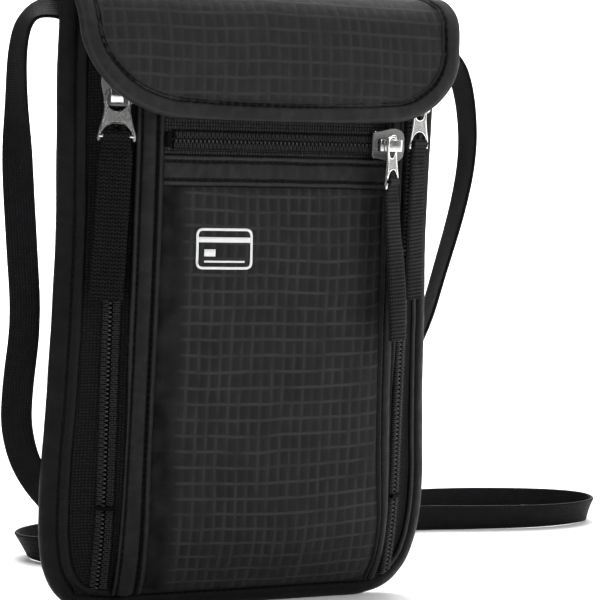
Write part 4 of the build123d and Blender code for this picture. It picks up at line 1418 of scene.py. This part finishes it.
def ribbon(side, frame, body, path, twist, seed):
    """A grosgrain ribbon looped over the bar and sewn to itself, its cross ribs standing out."""
    line, run = spline(path, 0.2)
    ahead = unit(np.gradient(line, axis=0))
    turn = twist(run)
    across = np.stack([np.cos(turn), np.sin(turn), 0 * turn], axis=1)
    across = unit(across - ahead * np.sum(across * ahead, axis=1, keepdims=True))
    out = unit(np.cross(across, ahead))
    half = 5.25 - 0.9 * np.exp(-((run / 3.5) ** 2))
    ribs = np.cos(2 * math.pi * run / RIB)
    u = np.linspace(-1, 1, 15)
    section = np.stack([np.concatenate([u, u[::-1]]), np.repeat([1.0, -1.0], 15)], axis=1)
    sections = np.repeat(section[None], len(line), axis=0)
    thin = np.sqrt(np.clip(1 - section[:, 0] ** 6, 0.05, 1))
    sides = np.sign(section[:, 0]) * (np.abs(section[:, 0]) > 0.9)
    sections[..., 0] = section[None, :, 0] * half[:, None] + 0.09 * sides * ribs[:, None]
    sections[..., 1] = section[None, :, 1] * (0.72 + 0.13 * ribs)[:, None] * thin[None]
    sections[..., 1] += 0.25 * lumps(np.stack([run, run * 0, run * 0], axis=1), 16, seed)[:, None] * section[None, :, 0]
    parts = [sweep(line, across, out, sections)]
    loop = np.array([(0, math.sin(a), 1.15 * math.cos(a)) for a in np.linspace(-2.5, 2.5, 22)])
    flank = alike((1, 0, 0), loop)
    around = unit(np.cross(flank, np.gradient(loop, axis=0)))
    parts.append(moved(sweep(loop, flank, around, section * (4.25, 0.36)), Matrix.Translation((0, 0, -CROSSBAR))))
    rows = []
    for depth in (3.6, 5.2):
        k = int(np.argmin(np.abs(run - depth)))
        for face in (1, -1):
            row = line[k] + across[k] * np.linspace(-3.6, 3.6, 12)[:, None] + out[k] * 0.82 * face
            rows.append(stitches(row, alike(out[k] * face, row), 1.7, 1.25, 0.17))
    name = f"{side}_pull_ribbon"
    piece(name, [moved(part, frame) for part in parts], body, RIBBON, replaces=[name])
    sewn(f"{side}_ribbon_stitches", [moved(row, frame) for row in rows], body)


for side in CHAINS:
    slider(side)
for side, lean, sway, seed in (("left", 0.8, -1.6, 91), ("right", 0.4, 2.2, 92)):
    frame = CHAINS[side] @ Matrix.Translation(PIVOT)
    pull(side, frame, f"{side}_pull")
    path = [(0, 0.0, -16.0), (0, -0.1, -20), (0.2 * sway, 0.1, -30), (0.5 * sway, 0.5, -44)]
    path += [(0.8 * sway, 0.6, -56), (sway, 0.4, -67.2)]
    ribbon(side, frame, f"{side}_ribbon", path, lambda run, k=lean: 0.1 * np.sin(run / 14) * k, seed)
# The front pull hangs off its slider turned towards the corner, and its ribbon hangs straight down from it.
turned = Matrix.Rotation(math.radians(-139), 4, "Z")
limb = Matrix.Translation((43.5, -19.2, FRONT_CHAIN_Z)) @ turned
hang = limb @ Matrix.Rotation(math.radians(7), 4, "Y") @ Matrix.Translation((3.55, 0, 3.4))
pull("front", hang, "front_pull")
plumb = Matrix.Translation((hang @ Vector((0, 0, -CROSSBAR))) + Vector((0, 0, CROSSBAR))) @ turned
front_path = [(0, 0.0, -16.0), (0, 0.2, -20), (0, 1.1, -30), (0, 2.7, -44), (0, 3.8, -56), (0, 4.4, -67.2)]
ribbon("front", plumb, "front_pull", front_path, lambda run: -0.1 - 0.14 * ease(0, 30, run), 93)


# ---------------------------------------------------------------- stops, patches and the layers inside
def stops(name, parts):
    piece(name, parts, POUCH, BED, replaces=[name], angle=40)


def zip_stops():
    """Small dark clamps above each side chain and bars across the chains' ends."""
    for side in ("left", "right"):
        parts = [plate([box(a, a + 1.9, 13.4, 15.8, 0.4, 3)], -1.35, -0.1, 0.3, 3) for a in (-2.75, 0.85)]
        parts.append(plate([box(-2.9, 2.9, -133.6, -132.2, 0.4, 3)], -1.75, -0.6, 0.35, 3))
        stops(f"{side}_zip_stops", [moved(part, CHAINS[side]) for part in parts])
    stops("front_zip_stops", [plate([box(-38.2, -36.6, 151.6, 156.8, 0.4, 3)], -15.9, -14.5, 0.35, 3)])


def layer(name, corners, y, thick, slot, material, bottom, wave=0.25, facing=-1, hem=None, seed=1):
    """A flat sewn layer between corners (x0, x1, z0, z1), its lower corners rounded, with or without a top hem."""
    x0, x1, z0, z1 = corners
    half, middle = (x1 - x0) / 2, (x0 + x1) / 2
    t = np.linspace(-1, 1, 44)[:, None] * -facing
    z = np.concatenate([np.linspace(z0, z0 + bottom, 10)[:-1], np.linspace(z0 + bottom, z1, 40)])[None, :]
    grid = np.stack(np.broadcast_arrays(middle + t * tongue_width(z, half, bottom, z0), y, z), axis=2)
    calm = (1 - t**6) * ease(z0, z0 + 12, z) * (1 - ease(z1 - 10, z1, z))
    grid[..., 1] += facing * calm * wave * lumps(grid, (26, 9, 30), seed)
    if hem:
        grid[..., 1] += facing * 0.35 * ease(z1 - hem, z1 - hem + 0.6, z)
    piece(name, [slab(grid, thick)], POUCH, material, replaces=[name])
    if hem:
        out = alike((0, facing, 0), grid[:, 0])
        j = int(np.argmin(np.abs(z[0] - (z1 - hem + 1.4))))
        sewn(name + "_stitches", [stitches(grid[:, j] + out * 0.05, out, BINDING_PITCH, 1.8)])


def gusset():
    """The lining folded between the pocket and the back at both sides and along the bottom."""
    z = np.linspace(14, WALL_TOP, 60)[None, :]
    t = np.linspace(0, 1, 12)[:, None]
    parts = []
    for sign in (-1, 1):
        depth = -2.6 - 1.9 * t + 0.5 * np.sin(math.pi * t)
        grid = np.stack(np.broadcast_arrays(sign * (61.2 - 12.1 * t), depth, z), axis=2)
        grid[..., 1] += 0.2 * lumps(grid, (9, 9, 14), 101)
        parts.append(slab(grid if sign < 0 else grid[::-1], 0.35))
    x = np.linspace(-49, 49, 50)[:, None]
    t = np.linspace(0, 1, 8)[None, :]
    grid = np.stack(np.broadcast_arrays(x, -2.6 - 1.9 * t, 7.9 + 8.0 * t), axis=2)
    parts.append(slab(grid, 0.35))
    piece("pocket_gusset", parts, POUCH, LINING, replaces=["pocket_gusset"])


def mouth_facing():
    """The turned strip that closes the pocket along the mouth, between the front wall and the lining."""
    rim = [(-56, -7.0), LEFT_CHAIN, (-46.5, LEFT_PIPING_Y), (-39, FRONT_Y), (-20, -14.7), (0, -14.8), (22, -14.7)]
    rim += [(43, FRONT_Y), (49.6, RIGHT_PIPING_Y), RIGHT_CHAIN, (56, -7.6)]
    line, _ = spline([(x, y, 0) for x, y in rim], 1.5)
    t = np.linspace(0, 1, 12)[None, :, None]
    back = np.stack([line[:, 0], np.full(len(line), -4.95), 0 * line[:, 0]], axis=1)[:, None]
    grid = between(line[:, None], back, t)
    crown = 192.9 + 0.5 * np.sin(math.pi * t[..., 0]) ** 0.7
    grid[..., 2] = crown + 0.25 * lumps(grid + np.array((0, 0, 50.0)), (12, 6, 9), 105)
    piece("mouth_facing", [slab(grid, 0.6)], POUCH, SMOOTH, replaces=["mouth_facing"])
    out = alike((0, 0, 1), line)
    sewn("mouth_facing_stitches", [stitches(grid[:, 2] + out * 0.04, out, BINDING_PITCH, 1.8)])


# A little hook on the flap's patches, bent over at its tip.
HOOK = np.array([(0, -0.1, 0), (0, 0.32, 0), (0, 0.5, 0.14), (0, 0.46, 0.32), (0, 0.3, 0.36)])
HOOK_RADII = [0.13, 0.11, 0.1, 0.1, 0.08]


def fastening():
    """Hook patches inside the flap, and loop patches on the yoke sewn round their edges."""
    hooks, loops, rows = [], [], []
    for low in (-30, 12):
        outline = box(low + 0.2, low + 23.8, 171.2, 184.8, 1.4, 4)
        hooks.append(plate([outline], -18.1, -17.55, 0.1, 1))
        loops.append(plate([outline], -15.55, -14.75, 0.3, 3))
        xs, zs = np.meshgrid(np.arange(low + 1.7, low + 22.6, 0.8), np.arange(172.6, 183.6, 1.0), indexing="ij")
        centres = np.stack([xs.ravel(), np.full(xs.size, -17.6), zs.ravel()], axis=1)[:, None] + HOOK[None]
        flank = alike((1, 0, 0), centres)
        up = unit(np.cross(unit(np.gradient(centres, axis=1)), flank))
        hooks.append(threads(centres, flank, up, HOOK_RADII, 5))
        ring = box(low + 1.1, low + 22.9, 172.1, 183.9, 1.0, 4)
        path = np.array([(x, -15.58, z) for x, z in ring + ring[:1]])
        rows.append(stitches(path, alike((0, -1, 0), path), 2.2, 1.6, 0.17))
    piece("hook_patches", hooks, FLAP, HOOKS, replaces=["hook_patches"])
    piece("loop_patches", loops, POUCH, PILE, replaces=["loop_patches"], angle=50)
    sewn("loop_patch_stitches", rows)


def strap_anchors():
    """The strap's ends laid flat on the back and sewn down with a boxed cross."""
    parts, rows = [], []
    low, high, half = 186.4, 195.2, 5.6
    frame = [(-half, low), (half, low), (half, high), (-half, high), (-half, low), (half, high)]
    for middle in (-56, 56):
        z = np.linspace(185.2, 196.6, 16)[None, :]
        t = np.linspace(1, -1, 18)[:, None]
        grid = np.stack(np.broadcast_arrays(middle + 6.9 * t, 4.2, z), axis=2)
        grid[..., 1] += 0.12 * lumps(grid, (5, 5, 5), 111) - 0.4 * np.abs(t) ** 8
        parts.append(slab(grid, 0.9))
        sides = np.concatenate([np.linspace(a, b, 20) for a, b in zip(frame, frame[1:])])
        sewn_box = np.stack(np.broadcast_arrays(middle + sides[:, 0], 4.28, sides[:, 1]), axis=1)
        cross, _ = spline([(middle - half, 4.28, high), (middle + half, 4.28, low)], 0.5)
        rows += [stitches(line, alike((0, 1, 0), line), 1.9, 1.4, 0.17) for line in (sewn_box, cross)]
    piece("strap_anchors", parts, POUCH, STRAP, replaces=["strap_anchors"])
    sewn("strap_anchor_stitches", rows)


def on_panel(x, z):
    """The point of the pocket front straight behind (x, z)."""
    heights = np.linspace(PANEL_FOOT, PANEL_TOP, panel_grid.shape[1])
    j = float(np.interp(z, heights, np.arange(len(heights))))
    j0 = min(int(j), len(heights) - 2)
    row = panel_grid[:, j0] * (1 - j + j0) + panel_grid[:, j0 + 1] * (j - j0)
    return np.array([x, np.interp(x, row[:, 0], row[:, 1]), z])


def ink(points, half):
    """A thin closed band of ink along a line on the panel, as wide as half to each side."""
    line = np.array([on_panel(x, z) for x, z in points]) + np.array((0, -0.1, 0))
    ahead = unit(np.gradient(line, axis=0))
    flank = unit(np.cross(ahead, alike((0, -1, 0), line)))
    section = [(half, -0.08), (half, 0.08), (-half, 0.08), (-half, -0.08)]
    return sweep(line, flank, unit(np.cross(flank, ahead)), section)


def printed_card():
    """A generic white card outline printed on the pocket front: a rounded frame, a stripe, a chip and a line."""
    x, z, wide, high = -17.0, 119.5, 9.4, 6.2
    ring = box(x - wide, x + wide, z - high, z + high, 2.0, 6)
    dense = []
    for a, b in zip(ring, ring[1:] + ring[:1]):
        count = max(2, int(np.linalg.norm(b - a) / 0.6))
        dense += [tuple(a * (1 - t) + b * t) for t in np.linspace(0, 1, count)[:-1]]
    parts = [ink(dense + dense[:2], 0.42)]
    for up, start, end, half in ((2.9, 0.4, 18.4, 0.85), (-1.3, 2.4, 6.2, 1.15), (-4.1, 2.4, 16.4, 0.32)):
        parts.append(ink([(x - wide + s, z + up) for s in np.linspace(start, end, 24)], half))
    piece("printed_card", parts, POUCH, PRINT)


zip_stops()
layer("pocket_lining", (-49, 49, 16, 192), -4.8, 0.5, "lining", LINING, 8, facing=1, seed=120)
layer("rfid_front_liner", (-46, 46, 24, 180), -5.2, 0.25, "shield_cloth", FOIL, 6, seed=121)
layer("card_pocket_panel", (-42, 42, 26, 112), -6.0, 0.4, "lining", LINING, 4, hem=6, seed=122)
layer("rfid_back_liner", (-59.4, 59.4, 8.7, 192), 2.0, 0.25, "shield_cloth", FOIL, 12, wave=0.0, seed=123)
layer("back_slip_pocket", (-58.4, 58.4, 9.0, 152), 1.4, 0.4, "lining", LINING, 12, wave=0.12, hem=8, seed=124)
gusset()
mouth_facing()
fastening()
strap_anchors()
printed_card()
